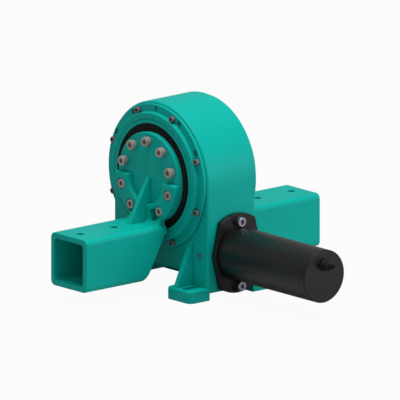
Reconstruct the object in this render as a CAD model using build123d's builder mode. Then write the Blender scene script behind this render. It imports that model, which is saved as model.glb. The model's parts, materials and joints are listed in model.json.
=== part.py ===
"""Enclosed slewing drive for a solar tracker: a worm gear in a cast housing, turned by a planetary
gearmotor, with a torque-tube socket bolted to each side of its output ring.

Millimetres. X runs along the torque tube, Y along the worm, +Z is up. The origin is on the base
plane, in the middle of the slot pattern in the feet.
"""

import os
from math import acos, atan, atan2, cos, degrees, pi, radians, sin, sqrt, tan

from build123d import *

os.makedirs("parts", exist_ok=True)

# ---------------------------------------------------------------- driving dimensions
# Worm gear
MODULE = 3.0
WHEEL_TEETH = 61
WORM_PITCH_R = 22.5
PRESSURE_ANGLE = 20.0
WHEEL_WIDTH = 32.0
WORM_HALF_TURNS = 4  # whole turns each side of the wheel, so that a thread crest faces it at rest
FLANK_GAP = 0.3  # between worm thread and wheel tooth, each flank
TIP_FLANK_ANGLE = 25.0  # wheel tooth flank outside the pitch circle, relieved for a straight-sided worm
ROOT_FLANK_ANGLE = 19.0

# Housing
AXIS_HEIGHT = 186.0  # output axis above the base plane
DRUM_R = 122.5
FRONT_X = -58.0
REAR_X = 42.5
FAR_FLAT_Y = 109.5  # flat for the worm end cap
BODY_BOTTOM_Z = 40.0
BLOCK_BOTTOM_Z = 12.0
BLOCK_INNER_Y = 62.0
EDGE_ROUND = 4.0
CAVITY_R = 99.0

# Feet
FOOT_REACH_X = 96.0
FOOT_OUTER_Y = 122.5
FOOT_THICKNESS = 20.0
FOOT_CORNER_R = 10.0
FOOT_TOP_ROUND = 3.0
SLOT_WIDTH = 14.0
SLOT_LENGTH = 32.0
SLOT_PITCH_X = 148.0
SLOT_PITCH_Y = 198.0
GUSSET_Y = 81.0
GUSSET_WIDTH = 10.0

# Ball race
BALL_R = 7.0
BALL_COUNT = 24
BALL_CIRCLE_R = 91.0
RACE_X = -38.0
RACE_WIDTH = 28.0
RACE_OUTER_R = 102.0
RACE_GAP = 2.5  # from the ball circle to each race's plain surface
CAGE_WALL = 3.0
CAGE_WIDTH = 20.0
BALL_CLEARANCE = 0.15

# Slewing ring
RING_BORE_R = 45.0
RING_LAND_R = 74.0
RING_HALF_LENGTH = 70.0

# Covers and seals
COVER_R = 118.5
FRONT_COVER_THICKNESS = 4.5
REAR_COVER_THICKNESS = 6.5
COVER_RIM_R = 105.5
FRONT_RIM_HEIGHT = 7.5
REAR_RIM_HEIGHT = 21.0
COVER_BORE_R = 88.0
COVER_SPIGOT = 2.0
COVER_SCREW_CIRCLE_R = 111.0
COVER_SCREW_COUNT = 8
COVER_SCREW_START = 22.5
SEAL_WIDTH = 8.0
SEAL_SETBACK = 1.5
SEAL_LIP_GAP = 0.1

# Torque-tube sockets
HUB_R = 74.3
HUB_DISC_THICKNESS = 8.5
HUB_PAD_HEIGHT = 10.0
HUB_PAD_INNER_R = 42.0
HUB_SCREW_CIRCLE_R = 60.325
HUB_SCREW_COUNT = 10
HUB_SCREW_START = 90.0
COUNTERBORE_R = 9.0
SOCKET_DROP = 114.5  # output axis to the middle of the socket
SOCKET_SIZE = 88.0
SOCKET_WALL = 5.0
SOCKET_END_X = 249.5
SOCKET_EDGE_ROUND = 9.0
SOCKET_CORE_ROUND = 5.0
SOCKET_END_CHAMFER = 4.0
SOCKET_HEEL_X = 127.0  # where the flat underside starts
SOCKET_KNEE_X = 115.0
SOCKET_KNEE_RISE = 12.5
SOCKET_THROAT_X = 82.0
SOCKET_THROAT_RISE = 72.5
SOCKET_SLOPE_WALL = 6.0
TUBE_BOLT_R = 6.5
TUBE_BOLT_X = (153.0, 225.0)
HUB_RIB_THICKNESS = 9.0
HUB_RIB_FOOT_X = 122.5

# Worm line
BEARING_R = 27.5
BEARING_WIDTH = 17.0
BEARING_NEAR_Y = -98.0  # outer face of the motor-side bearing
BEARING_FAR_Y = 83.0  # outer face of the far bearing
JOURNAL_R = 15.0
CONE_R = 19.0
CUP_R = 24.0
ROLLER_COUNT = 12
WORM_SEAL_Y = -107.0
WORM_SEAL_WIDTH = 8.0
CIRCLIP_THICKNESS = 1.5
CIRCLIP_DEPTH = 1.5
END_CAP_R = 38.0
END_CAP_THICKNESS = 8.0
END_CAP_SPIGOT_WALL = 2.0  # more than the cup's own wall
END_CAP_SCREW_CIRCLE_R = 32.0
END_CAP_SCREW_COUNT = 4
ORING_R = 1.5
NIPPLE_R = 3.0

# Gearmotor
FLANGE_THICKNESS = 8.5
FLANGE_R = 65.5
FLANGE_HALF_WIDTH = 50.0
FLANGE_EAR_HALF_WIDTH = 35.5
FLANGE_SIDE_ROUND = 30.0
FLANGE_BOLT_DROP = 53.2
PILOT_R = 36.0
PILOT_DEPTH = 6.0
MOTOR_R = 43.75
MOTOR_WALL = 4.0
GEARBOX_LENGTH = 64.0
MOTOR_LENGTH = 138.0
END_BELL_THICKNESS = 10.0
OUTPUT_SHAFT_R = 8.0
OUTPUT_SHAFT_GRIP = 34.0  # how far it reaches into the worm
PLANET_MODULE = 1.5
SUN_TEETH = 18
PLANET_TEETH = 15
PLANET_COUNT = 3
PLANET_WIDTH = 20.0
PLANET_BACKLASH = 0.5
PLANET_PIN_R = 4.0
CARRIER_R = 34.0
CARRIER_THICKNESS = 8.0
ROTOR_R = 30.0
ROTOR_LENGTH = 84.0
ROTOR_SHAFT_R = 6.0
MAGNET_THICKNESS = 6.0
GLAND_RISE = 20.0
GLAND_BASE_R = 10.5
GLAND_BASE_LENGTH = 7.0
GLAND_NUT_R = 8.0
GLAND_NUT_LENGTH = 9.0
GLAND_TIP_R = 5.0
GLAND_TIP_LENGTH = 5.0

# Fits
RUNNING_FIT = 0.05
THREAD_GAP = 0.1
HOLE_GAP = 0.5
SIDE_PLAY = 0.5

# Socket-head screws: thread radius, head radius, head height, key across flats
M6 = (3.0, 5.0, 6.0, 5.0)
M10 = (5.0, 8.0, 10.0, 8.0)

# ---------------------------------------------------------------- worked-out sizes
WHEEL_PITCH_R = MODULE * WHEEL_TEETH / 2
CENTRE_DISTANCE = WHEEL_PITCH_R + WORM_PITCH_R
WORM_HEIGHT = AXIS_HEIGHT - CENTRE_DISTANCE
WHEEL_TIP_R = WHEEL_PITCH_R + MODULE
WHEEL_ROOT_R = WHEEL_PITCH_R - 1.25 * MODULE
WORM_TIP_R = WORM_PITCH_R + MODULE
WORM_ROOT_R = WORM_PITCH_R - 1.25 * MODULE
LEAD = pi * MODULE
THREAD_HALF_LENGTH = WORM_HALF_TURNS * LEAD
LEAD_ANGLE = degrees(atan(LEAD / (2 * pi * WORM_PITCH_R)))

RACE_INNER_R = BALL_CIRCLE_R + RACE_GAP
RING_RACE_R = BALL_CIRCLE_R - RACE_GAP
GROOVE_R = BALL_R + BALL_CLEARANCE
FRONT_COVER_X = FRONT_X - FRONT_COVER_THICKNESS
REAR_COVER_X = REAR_X + REAR_COVER_THICKNESS
FRONT_RIM_X = FRONT_COVER_X - FRONT_RIM_HEIGHT
REAR_RIM_X = REAR_COVER_X + REAR_RIM_HEIGHT
HUB_FACE_X = RING_HALF_LENGTH + HUB_DISC_THICKNESS
HUB_PAD_X = HUB_FACE_X + HUB_PAD_HEIGHT
GUSSET_TOP = -sqrt((COVER_R + 1) ** 2 - (GUSSET_Y - GUSSET_WIDTH / 2) ** 2)  # just clear of the covers
SOCKET_TOP = -SOCKET_DROP + SOCKET_SIZE / 2  # heights from the output axis
SOCKET_BOTTOM = -SOCKET_DROP - SOCKET_SIZE / 2

MOTOR_FACE_Y = -DRUM_R
FLANGE_Y = MOTOR_FACE_Y - FLANGE_THICKNESS
GEARBOX_Y = FLANGE_Y - GEARBOX_LENGTH
MOTOR_END_Y = GEARBOX_Y - MOTOR_LENGTH
END_BELL_Y = MOTOR_END_Y - END_BELL_THICKNESS
RING_GEAR_TEETH = SUN_TEETH + 2 * PLANET_TEETH
PLANET_ORBIT_R = PLANET_MODULE * (SUN_TEETH + PLANET_TEETH) / 2
CARRIER_Y = FLANGE_Y - 14.0
PLANET_Y = CARRIER_Y - CARRIER_THICKNESS - SIDE_PLAY
GREASE_Y = (WORM_SEAL_Y + BEARING_NEAR_Y - CIRCLIP_THICKNESS) / 2

OUTPUT_AXIS = Axis((0, 0, AXIS_HEIGHT), (1, 0, 0))
WORM_AXIS = Axis((0, 0, WORM_HEIGHT), (0, 1, 0))
OUTPUT_SIDE = Plane(origin=(0, 0, AXIS_HEIGHT), x_dir=(1, 0, 0), z_dir=(0, -1, 0))
WORM_SIDE = Plane(origin=(0, 0, WORM_HEIGHT), x_dir=(0, 1, 0), z_dir=(1, 0, 0))


def across_tube(x):
    """Plane square to the output axis at x, seen with +Y right and +Z up."""
    return Plane(origin=(x, 0, AXIS_HEIGHT), x_dir=(0, 1, 0), z_dir=(1, 0, 0))


def from_front(x):
    """Plane square to the output axis at x, seen from the front with +Z up."""
    return Plane(origin=(x, 0, AXIS_HEIGHT), x_dir=(0, -1, 0), z_dir=(-1, 0, 0))


def across_worm(y):
    """Plane square to the worm axis at y, with its normal along -Y, away from the far end."""
    return Plane(origin=(0, y, WORM_HEIGHT), x_dir=(1, 0, 0), z_dir=(0, -1, 0))


def write(name, piece):
    """Label one finished piece and save it as a STEP file of its own."""
    piece.label = name
    export_step(piece, f"parts/{name}.step")


def outline(plane, *points):
    """Closed face through the points, given in the plane's own coordinates."""
    with BuildSketch(plane) as face:
        with BuildLine():
            Polyline(*points, close=True)
        make_face()
    return face.sketch


def band(plane, start, end, inner, outer):
    """Rectangle for a turned ring: from start to end along the axis, inner to outer radius."""
    return outline(plane, (start, inner), (end, inner), (end, outer), (start, outer))


def socket_screw(size, grip):
    """Socket-head screw standing on the XY plane, head up, with its shank below."""
    thread_r, head_r, head_height, key = size
    with BuildPart() as screw:
        with BuildSketch():
            Circle(head_r)
        extrude(amount=head_height)
        chamfer(screw.faces().sort_by(Axis.Z)[-1].edges(), head_height / 10)
        with BuildSketch(Plane.XY.offset(head_height)):
            RegularPolygon(radius=key / 2, side_count=6, major_radius=False)
        extrude(amount=-head_height / 2, mode=Mode.SUBTRACT)
        with BuildSketch():
            Circle(thread_r)
        extrude(amount=-grip)
    return screw.part


def gear_outline(teeth, module, backlash, internal=False):
    """Involute gear face. An internal gear gives the space inside its teeth."""
    pitch_r = module * teeth / 2
    base_r = pitch_r * cos(radians(PRESSURE_ANGLE))
    tip_r = pitch_r + module * (1.25 if internal else 1.0)
    root_r = pitch_r - module * (1.0 if internal else 1.25)
    width = pi * module / 2 + (backlash if internal else -backlash)

    def half_angle(r):
        slope = acos(min(1.0, base_r / r))
        flank = tan(slope) - slope
        pitch_slope = radians(PRESSURE_ANGLE)
        return width / (2 * pitch_r) + tan(pitch_slope) - pitch_slope - flank

    radii = [root_r, (root_r + pitch_r) / 2, pitch_r, (pitch_r + tip_r) / 2, tip_r]
    points = []
    for tooth in range(teeth):
        middle = 2 * pi * tooth / teeth
        for side, order in ((-1, radii), (1, radii[::-1])):
            for r in order:
                angle = middle + side * half_angle(r)
                points.append((r * cos(angle), r * sin(angle)))
    with BuildSketch() as face:
        with BuildLine():
            Polyline(*points, close=True)
        make_face()
    return face.sketch


# ---------------------------------------------------------------- housing
def foot(x_inner, x_outer, side):
    """One foot pad with its slot, from the body at x_inner out to x_outer."""
    middle_x = (x_inner + x_outer) / 2
    middle_y = side * (BLOCK_INNER_Y + FOOT_OUTER_Y) / 2
    outward = 1 if x_outer > x_inner else -1
    with BuildPart() as pad:
        with BuildSketch():
            with Locations((middle_x, middle_y)):
                Rectangle(abs(x_outer - x_inner), FOOT_OUTER_Y - BLOCK_INNER_Y)
        extrude(amount=FOOT_THICKNESS)
        corners = pad.edges().filter_by(Axis.Z).group_by(Axis.X)[-1 if outward > 0 else 0]
        fillet(corners, FOOT_CORNER_R)
        fillet(pad.faces().sort_by(Axis.Z)[-1].edges(), FOOT_TOP_ROUND)
    return pad.part


def foot_gusset(face_x, x_outer, side):
    """Upright web from the body's face down to a foot pad."""
    low = FOOT_THICKNESS / 2 - AXIS_HEIGHT
    toe = FOOT_THICKNESS - AXIS_HEIGHT
    inward = 5.0 if x_outer < 0 else -5.0
    with BuildPart() as web:
        with BuildSketch(OUTPUT_SIDE.offset(-side * GUSSET_Y)):
            with BuildLine():
                Polyline(
                    (face_x + inward, low),
                    (x_outer, low),
                    (x_outer, toe),
                    (face_x, GUSSET_TOP),
                    (face_x + inward, GUSSET_TOP),
                    close=True,
                )
            make_face()
        extrude(amount=GUSSET_WIDTH / 2, both=True)
    return web.part


block_bottom = BLOCK_BOTTOM_Z - AXIS_HEIGHT
body_bottom = BODY_BOTTOM_Z - AXIS_HEIGHT
gusset_reach = FOOT_REACH_X - 5.0

with BuildPart() as housing:
    with BuildSketch(across_tube(FRONT_X)):
        Circle(DRUM_R)
        with BuildLine():
            Polyline(
                (-DRUM_R, 0),
                (-DRUM_R, block_bottom),
                (-BLOCK_INNER_Y, block_bottom),
                (-BLOCK_INNER_Y, body_bottom),
                (BLOCK_INNER_Y, body_bottom),
                (BLOCK_INNER_Y, block_bottom),
                (FAR_FLAT_Y, block_bottom),
                (FAR_FLAT_Y, 0),
                close=True,
            )
        make_face()
    extrude(amount=REAR_X - FRONT_X)
    drum_edges = housing.edges().filter_by(GeomType.CIRCLE)
    upright_edges = (
        housing.edges().filter_by(Axis.Z).filter_by(lambda edge: abs(edge.center().Y) > BLOCK_INNER_Y + 1)
    )
    fillet(drum_edges + upright_edges, EDGE_ROUND)
    for side in (-1, 1):
        add(foot(FRONT_X + EDGE_ROUND, -FOOT_REACH_X, side))
        add(foot(REAR_X - EDGE_ROUND, FOOT_REACH_X, side))
        add(foot_gusset(FRONT_X, -gusset_reach, side))
        add(foot_gusset(REAR_X, gusset_reach, side))
    # slots in the feet, running along the torque tube
    with BuildSketch():
        with GridLocations(SLOT_PITCH_X, SLOT_PITCH_Y, 2, 2):
            SlotOverall(SLOT_LENGTH, SLOT_WIDTH)
    extrude(amount=FOOT_THICKNESS + FOOT_CORNER_R, mode=Mode.SUBTRACT)
    # main cavity, with a wider seat for the outer race at the front
    with BuildSketch(across_tube(FRONT_X)):
        Circle(CAVITY_R)
    extrude(amount=REAR_X - FRONT_X, mode=Mode.SUBTRACT)
    with BuildSketch(across_tube(FRONT_X)):
        Circle(RACE_OUTER_R)
    extrude(amount=RACE_X + RACE_WIDTH / 2 - FRONT_X, mode=Mode.SUBTRACT)
    # worm bore, pilot recess for the motor and circlip groove
    revolve(band(WORM_SIDE, MOTOR_FACE_Y, FAR_FLAT_Y, 0, BEARING_R), WORM_AXIS, mode=Mode.SUBTRACT)
    revolve(
        band(WORM_SIDE, MOTOR_FACE_Y, MOTOR_FACE_Y + PILOT_DEPTH, 0, PILOT_R),
        WORM_AXIS,
        mode=Mode.SUBTRACT,
    )
    revolve(
        band(
            WORM_SIDE,
            BEARING_NEAR_Y - CIRCLIP_THICKNESS,
            BEARING_NEAR_Y,
            0,
            BEARING_R + CIRCLIP_DEPTH,
        ),
        WORM_AXIS,
        mode=Mode.SUBTRACT,
    )
    # tapped holes: covers, end cap, motor flange
    with BuildSketch(across_tube(FRONT_X)):
        with PolarLocations(COVER_SCREW_CIRCLE_R, COVER_SCREW_COUNT, COVER_SCREW_START):
            Circle(M6[0] + THREAD_GAP)
    extrude(amount=18, mode=Mode.SUBTRACT)
    with BuildSketch(across_tube(REAR_X)):
        with PolarLocations(COVER_SCREW_CIRCLE_R, COVER_SCREW_COUNT, COVER_SCREW_START):
            Circle(M6[0] + THREAD_GAP)
    extrude(amount=-18, mode=Mode.SUBTRACT)
    with BuildSketch(across_worm(FAR_FLAT_Y)):
        with PolarLocations(END_CAP_SCREW_CIRCLE_R, END_CAP_SCREW_COUNT, 45):
            Circle(M6[0] + THREAD_GAP)
    extrude(amount=16, mode=Mode.SUBTRACT)
    with BuildSketch(across_worm(MOTOR_FACE_Y)):
        with Locations((0, FLANGE_BOLT_DROP), (0, -FLANGE_BOLT_DROP)):
            Circle(M10[0] + THREAD_GAP)
    extrude(amount=-22, mode=Mode.SUBTRACT)
    # grease passage between the near bearing and the worm seal
    with BuildSketch(Plane(origin=(FRONT_X, GREASE_Y, WORM_HEIGHT), x_dir=(0, 1, 0), z_dir=(1, 0, 0))):
        Circle(NIPPLE_R + THREAD_GAP)
    extrude(amount=abs(FRONT_X) - BEARING_R + 2, mode=Mode.SUBTRACT)
write("housing", housing.part)

# ---------------------------------------------------------------- covers, seals and their screws
with BuildPart() as front_cover:
    revolve(band(OUTPUT_SIDE, FRONT_COVER_X, FRONT_X, COVER_BORE_R, COVER_R), OUTPUT_AXIS)
    revolve(band(OUTPUT_SIDE, FRONT_RIM_X, FRONT_COVER_X, COVER_BORE_R, COVER_RIM_R), OUTPUT_AXIS)
    revolve(
        band(OUTPUT_SIDE, FRONT_X, FRONT_X + COVER_SPIGOT, RACE_INNER_R, RACE_OUTER_R - RUNNING_FIT),
        OUTPUT_AXIS,
    )
    chamfer(front_cover.edges().group_by(Axis.X)[0], 1.5)
    with BuildSketch(across_tube(FRONT_COVER_X)):
        with PolarLocations(COVER_SCREW_CIRCLE_R, COVER_SCREW_COUNT, COVER_SCREW_START):
            Circle(M6[0] + HOLE_GAP)
    extrude(amount=FRONT_COVER_THICKNESS, mode=Mode.SUBTRACT)
write("front_cover", front_cover.part)

with BuildPart() as rear_cover:
    revolve(band(OUTPUT_SIDE, REAR_X, REAR_COVER_X, COVER_BORE_R, COVER_R), OUTPUT_AXIS)
    revolve(band(OUTPUT_SIDE, REAR_COVER_X, REAR_RIM_X, COVER_BORE_R, COVER_RIM_R), OUTPUT_AXIS)
    revolve(
        band(OUTPUT_SIDE, REAR_X - COVER_SPIGOT, REAR_X, COVER_BORE_R, CAVITY_R - RUNNING_FIT),
        OUTPUT_AXIS,
    )
    chamfer(rear_cover.edges().group_by(Axis.X)[-1], 1.5)
    with BuildSketch(across_tube(REAR_X)):
        with PolarLocations(COVER_SCREW_CIRCLE_R, COVER_SCREW_COUNT, COVER_SCREW_START):
            Circle(M6[0] + HOLE_GAP)
    extrude(amount=REAR_COVER_THICKNESS, mode=Mode.SUBTRACT)
write("rear_cover", rear_cover.part)

for name, start in (
    ("front_seal", FRONT_RIM_X + SEAL_SETBACK),
    ("rear_seal", REAR_RIM_X - SEAL_SETBACK - SEAL_WIDTH),
):
    with BuildPart() as seal:
        revolve(
            band(OUTPUT_SIDE, start, start + SEAL_WIDTH, RING_LAND_R + SEAL_LIP_GAP, COVER_BORE_R),
            OUTPUT_AXIS,
        )
    write(name, seal.part)

cover_screw = socket_screw(M6, 16)
for name, plane in (
    ("front_cover_screws", from_front(FRONT_COVER_X)),
    ("rear_cover_screws", across_tube(REAR_COVER_X)),
):
    with BuildPart() as screws:
        with Locations(plane):
            with PolarLocations(COVER_SCREW_CIRCLE_R, COVER_SCREW_COUNT, COVER_SCREW_START):
                add(cover_screw)
    write(name, screws.part)

# ---------------------------------------------------------------- ball race
race_start = RACE_X - RACE_WIDTH / 2
race_end = RACE_X + RACE_WIDTH / 2


def ball_groove():
    """Round section of the groove that the balls run in."""
    with BuildSketch(OUTPUT_SIDE) as groove:
        with Locations((RACE_X, BALL_CIRCLE_R)):
            Circle(GROOVE_R)
    return groove.sketch


with BuildPart() as outer_race:
    race_face = FRONT_X + COVER_SPIGOT
    revolve(band(OUTPUT_SIDE, race_face, race_end, RACE_INNER_R, RACE_OUTER_R), OUTPUT_AXIS)
    revolve(ball_groove(), OUTPUT_AXIS, mode=Mode.SUBTRACT)
write("outer_race", outer_race.part)

with BuildPart() as balls:
    with Locations(Plane(origin=(RACE_X, 0, AXIS_HEIGHT), x_dir=(0, 1, 0), z_dir=(1, 0, 0))):
        with PolarLocations(BALL_CIRCLE_R, BALL_COUNT):
            Sphere(BALL_R)
write("race_balls", balls.part)

with BuildPart() as ball_cage:
    revolve(
        band(
            OUTPUT_SIDE,
            RACE_X - CAGE_WIDTH / 2,
            RACE_X + CAGE_WIDTH / 2,
            BALL_CIRCLE_R - CAGE_WALL / 2,
            BALL_CIRCLE_R + CAGE_WALL / 2,
        ),
        OUTPUT_AXIS,
    )
    with Locations(across_tube(RACE_X)):
        with PolarLocations(BALL_CIRCLE_R, BALL_COUNT):
            Cylinder(GROOVE_R, 2 * BALL_R, rotation=(0, 90, 0), mode=Mode.SUBTRACT)
write("ball_cage", ball_cage.part)

# ---------------------------------------------------------------- slewing ring
with BuildPart() as slew_ring:
    revolve(band(OUTPUT_SIDE, -RING_HALF_LENGTH, RING_HALF_LENGTH, RING_BORE_R, RING_LAND_R), OUTPUT_AXIS)
    revolve(band(OUTPUT_SIDE, race_start, race_end, RING_LAND_R - 1, RING_RACE_R), OUTPUT_AXIS)
    wheel_half = WHEEL_WIDTH / 2
    revolve(band(OUTPUT_SIDE, race_end, wheel_half, RING_LAND_R - 1, WHEEL_ROOT_R), OUTPUT_AXIS)
    revolve(band(OUTPUT_SIDE, -wheel_half, wheel_half, RING_LAND_R - 1, WHEEL_TIP_R), OUTPUT_AXIS)
    revolve(ball_groove(), OUTPUT_AXIS, mode=Mode.SUBTRACT)
    # tooth spaces, tilted by the worm's lead angle
    slot_half = LEAD / 4 + FLANK_GAP / 2
    root_depth = 1.25 * MODULE
    slot_root = slot_half - root_depth * tan(radians(ROOT_FLANK_ANGLE))
    slot_tip = slot_half + 2 * MODULE * tan(radians(TIP_FLANK_ANGLE))
    tooth_space = Plane(
        origin=(0, 0, -WHEEL_PITCH_R),
        x_dir=(-sin(radians(LEAD_ANGLE)), cos(radians(LEAD_ANGLE)), 0),
        z_dir=(cos(radians(LEAD_ANGLE)), sin(radians(LEAD_ANGLE)), 0),
    )
    with BuildPart(mode=Mode.PRIVATE) as gash:
        with BuildSketch(tooth_space):
            with BuildLine():
                Polyline(
                    (-slot_root, root_depth),
                    (-slot_half, 0),
                    (-slot_tip, -2 * MODULE),
                    (slot_tip, -2 * MODULE),
                    (slot_half, 0),
                    (slot_root, root_depth),
                    close=True,
                )
            make_face()
        extrude(amount=WHEEL_WIDTH / 2 + 2, both=True)
    with Locations((0, 0, AXIS_HEIGHT)):
        add(
            [gash.part.rotate(Axis.X, 360 * tooth / WHEEL_TEETH) for tooth in range(WHEEL_TEETH)],
            mode=Mode.SUBTRACT,
        )
    # tapped holes for the hub screws, both ends
    for x, depth in ((-RING_HALF_LENGTH, 26), (RING_HALF_LENGTH, -26)):
        with BuildSketch(across_tube(x)):
            with PolarLocations(HUB_SCREW_CIRCLE_R, HUB_SCREW_COUNT, HUB_SCREW_START):
                Circle(M10[0] + THREAD_GAP)
        extrude(amount=depth, mode=Mode.SUBTRACT)
write("slew_ring", slew_ring.part)


# ---------------------------------------------------------------- torque-tube sockets
def socket_side(*points):
    """Side profile of the front socket, x outwards from the worm plane and height from the axis."""
    return outline(OUTPUT_SIDE, *[(-x, height) for x, height in points])


def slope_offset(x, height, other_x, other_height, wall):
    """Point moved square to a slope, into the casting."""
    run, fall = other_x - x, height - other_height
    length = sqrt(run**2 + fall**2)
    return x + wall * fall / length, height + wall * run / length


with BuildPart() as socket_core:
    throat = (SOCKET_THROAT_X, SOCKET_BOTTOM + SOCKET_THROAT_RISE)
    knee = (SOCKET_KNEE_X, SOCKET_BOTTOM + SOCKET_KNEE_RISE)
    heel = (SOCKET_HEEL_X, SOCKET_BOTTOM)
    core_top = SOCKET_TOP - SOCKET_WALL
    core_bottom = SOCKET_BOTTOM + SOCKET_WALL
    core_throat = slope_offset(*throat, *knee, SOCKET_SLOPE_WALL)
    core_knee = slope_offset(*knee, *throat, -SOCKET_SLOPE_WALL)
    core_start_x = HUB_PAD_X + SOCKET_WALL
    slope = (knee[1] - throat[1]) / (knee[0] - throat[0])
    core_start = (core_start_x, core_throat[1] + slope * (core_start_x - core_throat[0]))
    extrude(
        socket_side(
            (SOCKET_END_X + 1, core_top),
            (core_start_x, core_top),
            core_start,
            core_knee,
            (SOCKET_HEEL_X + SOCKET_WALL, core_bottom),
            (SOCKET_END_X + 1, core_bottom),
        ),
        amount=SOCKET_SIZE / 2 - SOCKET_WALL,
        both=True,
    )
    fillet(socket_core.edges().filter_by(Axis.X), SOCKET_CORE_ROUND)

screw_step = 360 / HUB_SCREW_COUNT
lowest_arc = CenterArc((0, 0), HUB_SCREW_CIRCLE_R, HUB_SCREW_START + 180 - screw_step, 2 * screw_step)

with BuildPart() as front_socket:
    # box section with a slanted inner end that swings clear of the feet
    extrude(
        socket_side(
            (SOCKET_END_X, SOCKET_TOP),
            (HUB_FACE_X - 1, SOCKET_TOP),
            (HUB_FACE_X - 1, SOCKET_BOTTOM),
            (SOCKET_END_X, SOCKET_BOTTOM),
        ),
        amount=SOCKET_SIZE / 2,
        both=True,
    )
    fillet(front_socket.edges().filter_by(Axis.X), SOCKET_EDGE_ROUND)
    extrude(
        socket_side(
            (HUB_FACE_X - 2, throat[1]),
            throat,
            knee,
            heel,
            (SOCKET_HEEL_X, SOCKET_BOTTOM - 1),
            (HUB_FACE_X - 2, SOCKET_BOTTOM - 1),
        ),
        amount=SOCKET_SIZE / 2 + 1,
        both=True,
        mode=Mode.SUBTRACT,
    )
    chamfer(front_socket.faces().sort_by(Axis.X)[0].edges(), SOCKET_END_CHAMFER)
    # hub disc with a raised pad round its lower half
    with BuildSketch(from_front(-RING_HALF_LENGTH)):
        Circle(HUB_R)
    extrude(amount=HUB_DISC_THICKNESS)
    with BuildSketch(from_front(-HUB_FACE_X)):
        Circle(HUB_R)
        Circle(HUB_PAD_INNER_R, mode=Mode.SUBTRACT)
        with Locations((0, HUB_R)):
            Rectangle(4 * HUB_R, 2 * HUB_R, mode=Mode.SUBTRACT)
    extrude(amount=HUB_PAD_HEIGHT)
    # gusset rib from the hub's middle to the top of the box
    with BuildSketch(OUTPUT_SIDE):
        with BuildLine():
            Polyline(
                (-HUB_FACE_X + 1, 0),
                (-HUB_FACE_X, 0),
                (-HUB_RIB_FOOT_X, SOCKET_TOP),
                (-HUB_RIB_FOOT_X, SOCKET_TOP - SOCKET_WALL / 2),
                (-HUB_FACE_X + 1, SOCKET_TOP - SOCKET_WALL / 2),
                close=True,
            )
        make_face()
    extrude(amount=HUB_RIB_THICKNESS / 2, both=True)
    add(socket_core.part, mode=Mode.SUBTRACT)
    # counterbores in the pad; the lowest three run together through the rib
    with BuildSketch(from_front(-HUB_FACE_X)):
        with PolarLocations(HUB_SCREW_CIRCLE_R, HUB_SCREW_COUNT, HUB_SCREW_START):
            Circle(COUNTERBORE_R)
    extrude(amount=HUB_PAD_HEIGHT + 2, mode=Mode.SUBTRACT)
    with BuildSketch(from_front(-HUB_FACE_X)):
        SlotArc(lowest_arc, 2 * COUNTERBORE_R)
    extrude(amount=HUB_PAD_HEIGHT + 2, mode=Mode.SUBTRACT)
    # clearance holes for the hub screws and the cross bolts of the torque tube
    with BuildSketch(from_front(-RING_HALF_LENGTH)):
        with PolarLocations(HUB_SCREW_CIRCLE_R, HUB_SCREW_COUNT, HUB_SCREW_START):
            Circle(M10[0] + HOLE_GAP)
    extrude(amount=HUB_DISC_THICKNESS, mode=Mode.SUBTRACT)
    with BuildSketch(Plane.XY.offset(AXIS_HEIGHT + SOCKET_TOP + 1)):
        with Locations(*[(-x, 0) for x in TUBE_BOLT_X]):
            Circle(TUBE_BOLT_R)
    extrude(amount=-SOCKET_SIZE - 2, mode=Mode.SUBTRACT)
write("front_socket", front_socket.part)

with BuildPart() as rear_socket:
    add(front_socket.part.mirror(Plane.YZ))
write("rear_socket", rear_socket.part)

hub_screw = socket_screw(M10, HUB_DISC_THICKNESS + 18)
for name, plane in (
    ("front_hub_screws", from_front(-HUB_FACE_X)),
    ("rear_hub_screws", across_tube(HUB_FACE_X)),
):
    with BuildPart() as screws:
        with Locations(plane):
            with PolarLocations(HUB_SCREW_CIRCLE_R, HUB_SCREW_COUNT, HUB_SCREW_START):
                add(hub_screw)
    write(name, screws.part)

# ---------------------------------------------------------------- worm line
near_shoulder = BEARING_NEAR_Y + BEARING_WIDTH
far_shoulder = BEARING_FAR_Y - BEARING_WIDTH
shaft_start = WORM_SEAL_Y - WORM_SEAL_WIDTH
bore_end = shaft_start + OUTPUT_SHAFT_GRIP + SIDE_PLAY

with BuildPart() as worm_shaft:
    revolve(band(WORM_SIDE, shaft_start, BEARING_FAR_Y, 0, JOURNAL_R), WORM_AXIS)
    revolve(band(WORM_SIDE, near_shoulder, far_shoulder, JOURNAL_R - 1, WORM_ROOT_R), WORM_AXIS)
    # the thread: a straight-sided tooth swept along a right-hand helix
    with BuildLine() as thread_path:
        Helix(
            LEAD,
            2 * THREAD_HALF_LENGTH,
            WORM_PITCH_R,
            center=(0, -THREAD_HALF_LENGTH, WORM_HEIGHT),
            direction=(0, 1, 0),
        )
    thread_half = LEAD / 4 - FLANK_GAP / 2
    flank = tan(radians(PRESSURE_ANGLE))
    root = WORM_ROOT_R - WORM_PITCH_R - 0.5
    with BuildSketch(Plane(origin=thread_path.line @ 0, x_dir=(0, 0, 1), z_dir=(1, 0, 0))):
        with BuildLine():
            Polyline(
                (root, thread_half - root * flank),
                (MODULE, thread_half - MODULE * flank),
                (MODULE, -thread_half + MODULE * flank),
                (root, -thread_half + root * flank),
                close=True,
            )
        make_face()
    sweep(path=thread_path.line, is_frenet=True)
    # bore and keyway for the gearmotor's output shaft
    revolve(
        band(WORM_SIDE, shaft_start, bore_end, 0, OUTPUT_SHAFT_R + RUNNING_FIT),
        WORM_AXIS,
        mode=Mode.SUBTRACT,
    )
write("worm_shaft", worm_shaft.part)

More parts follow.
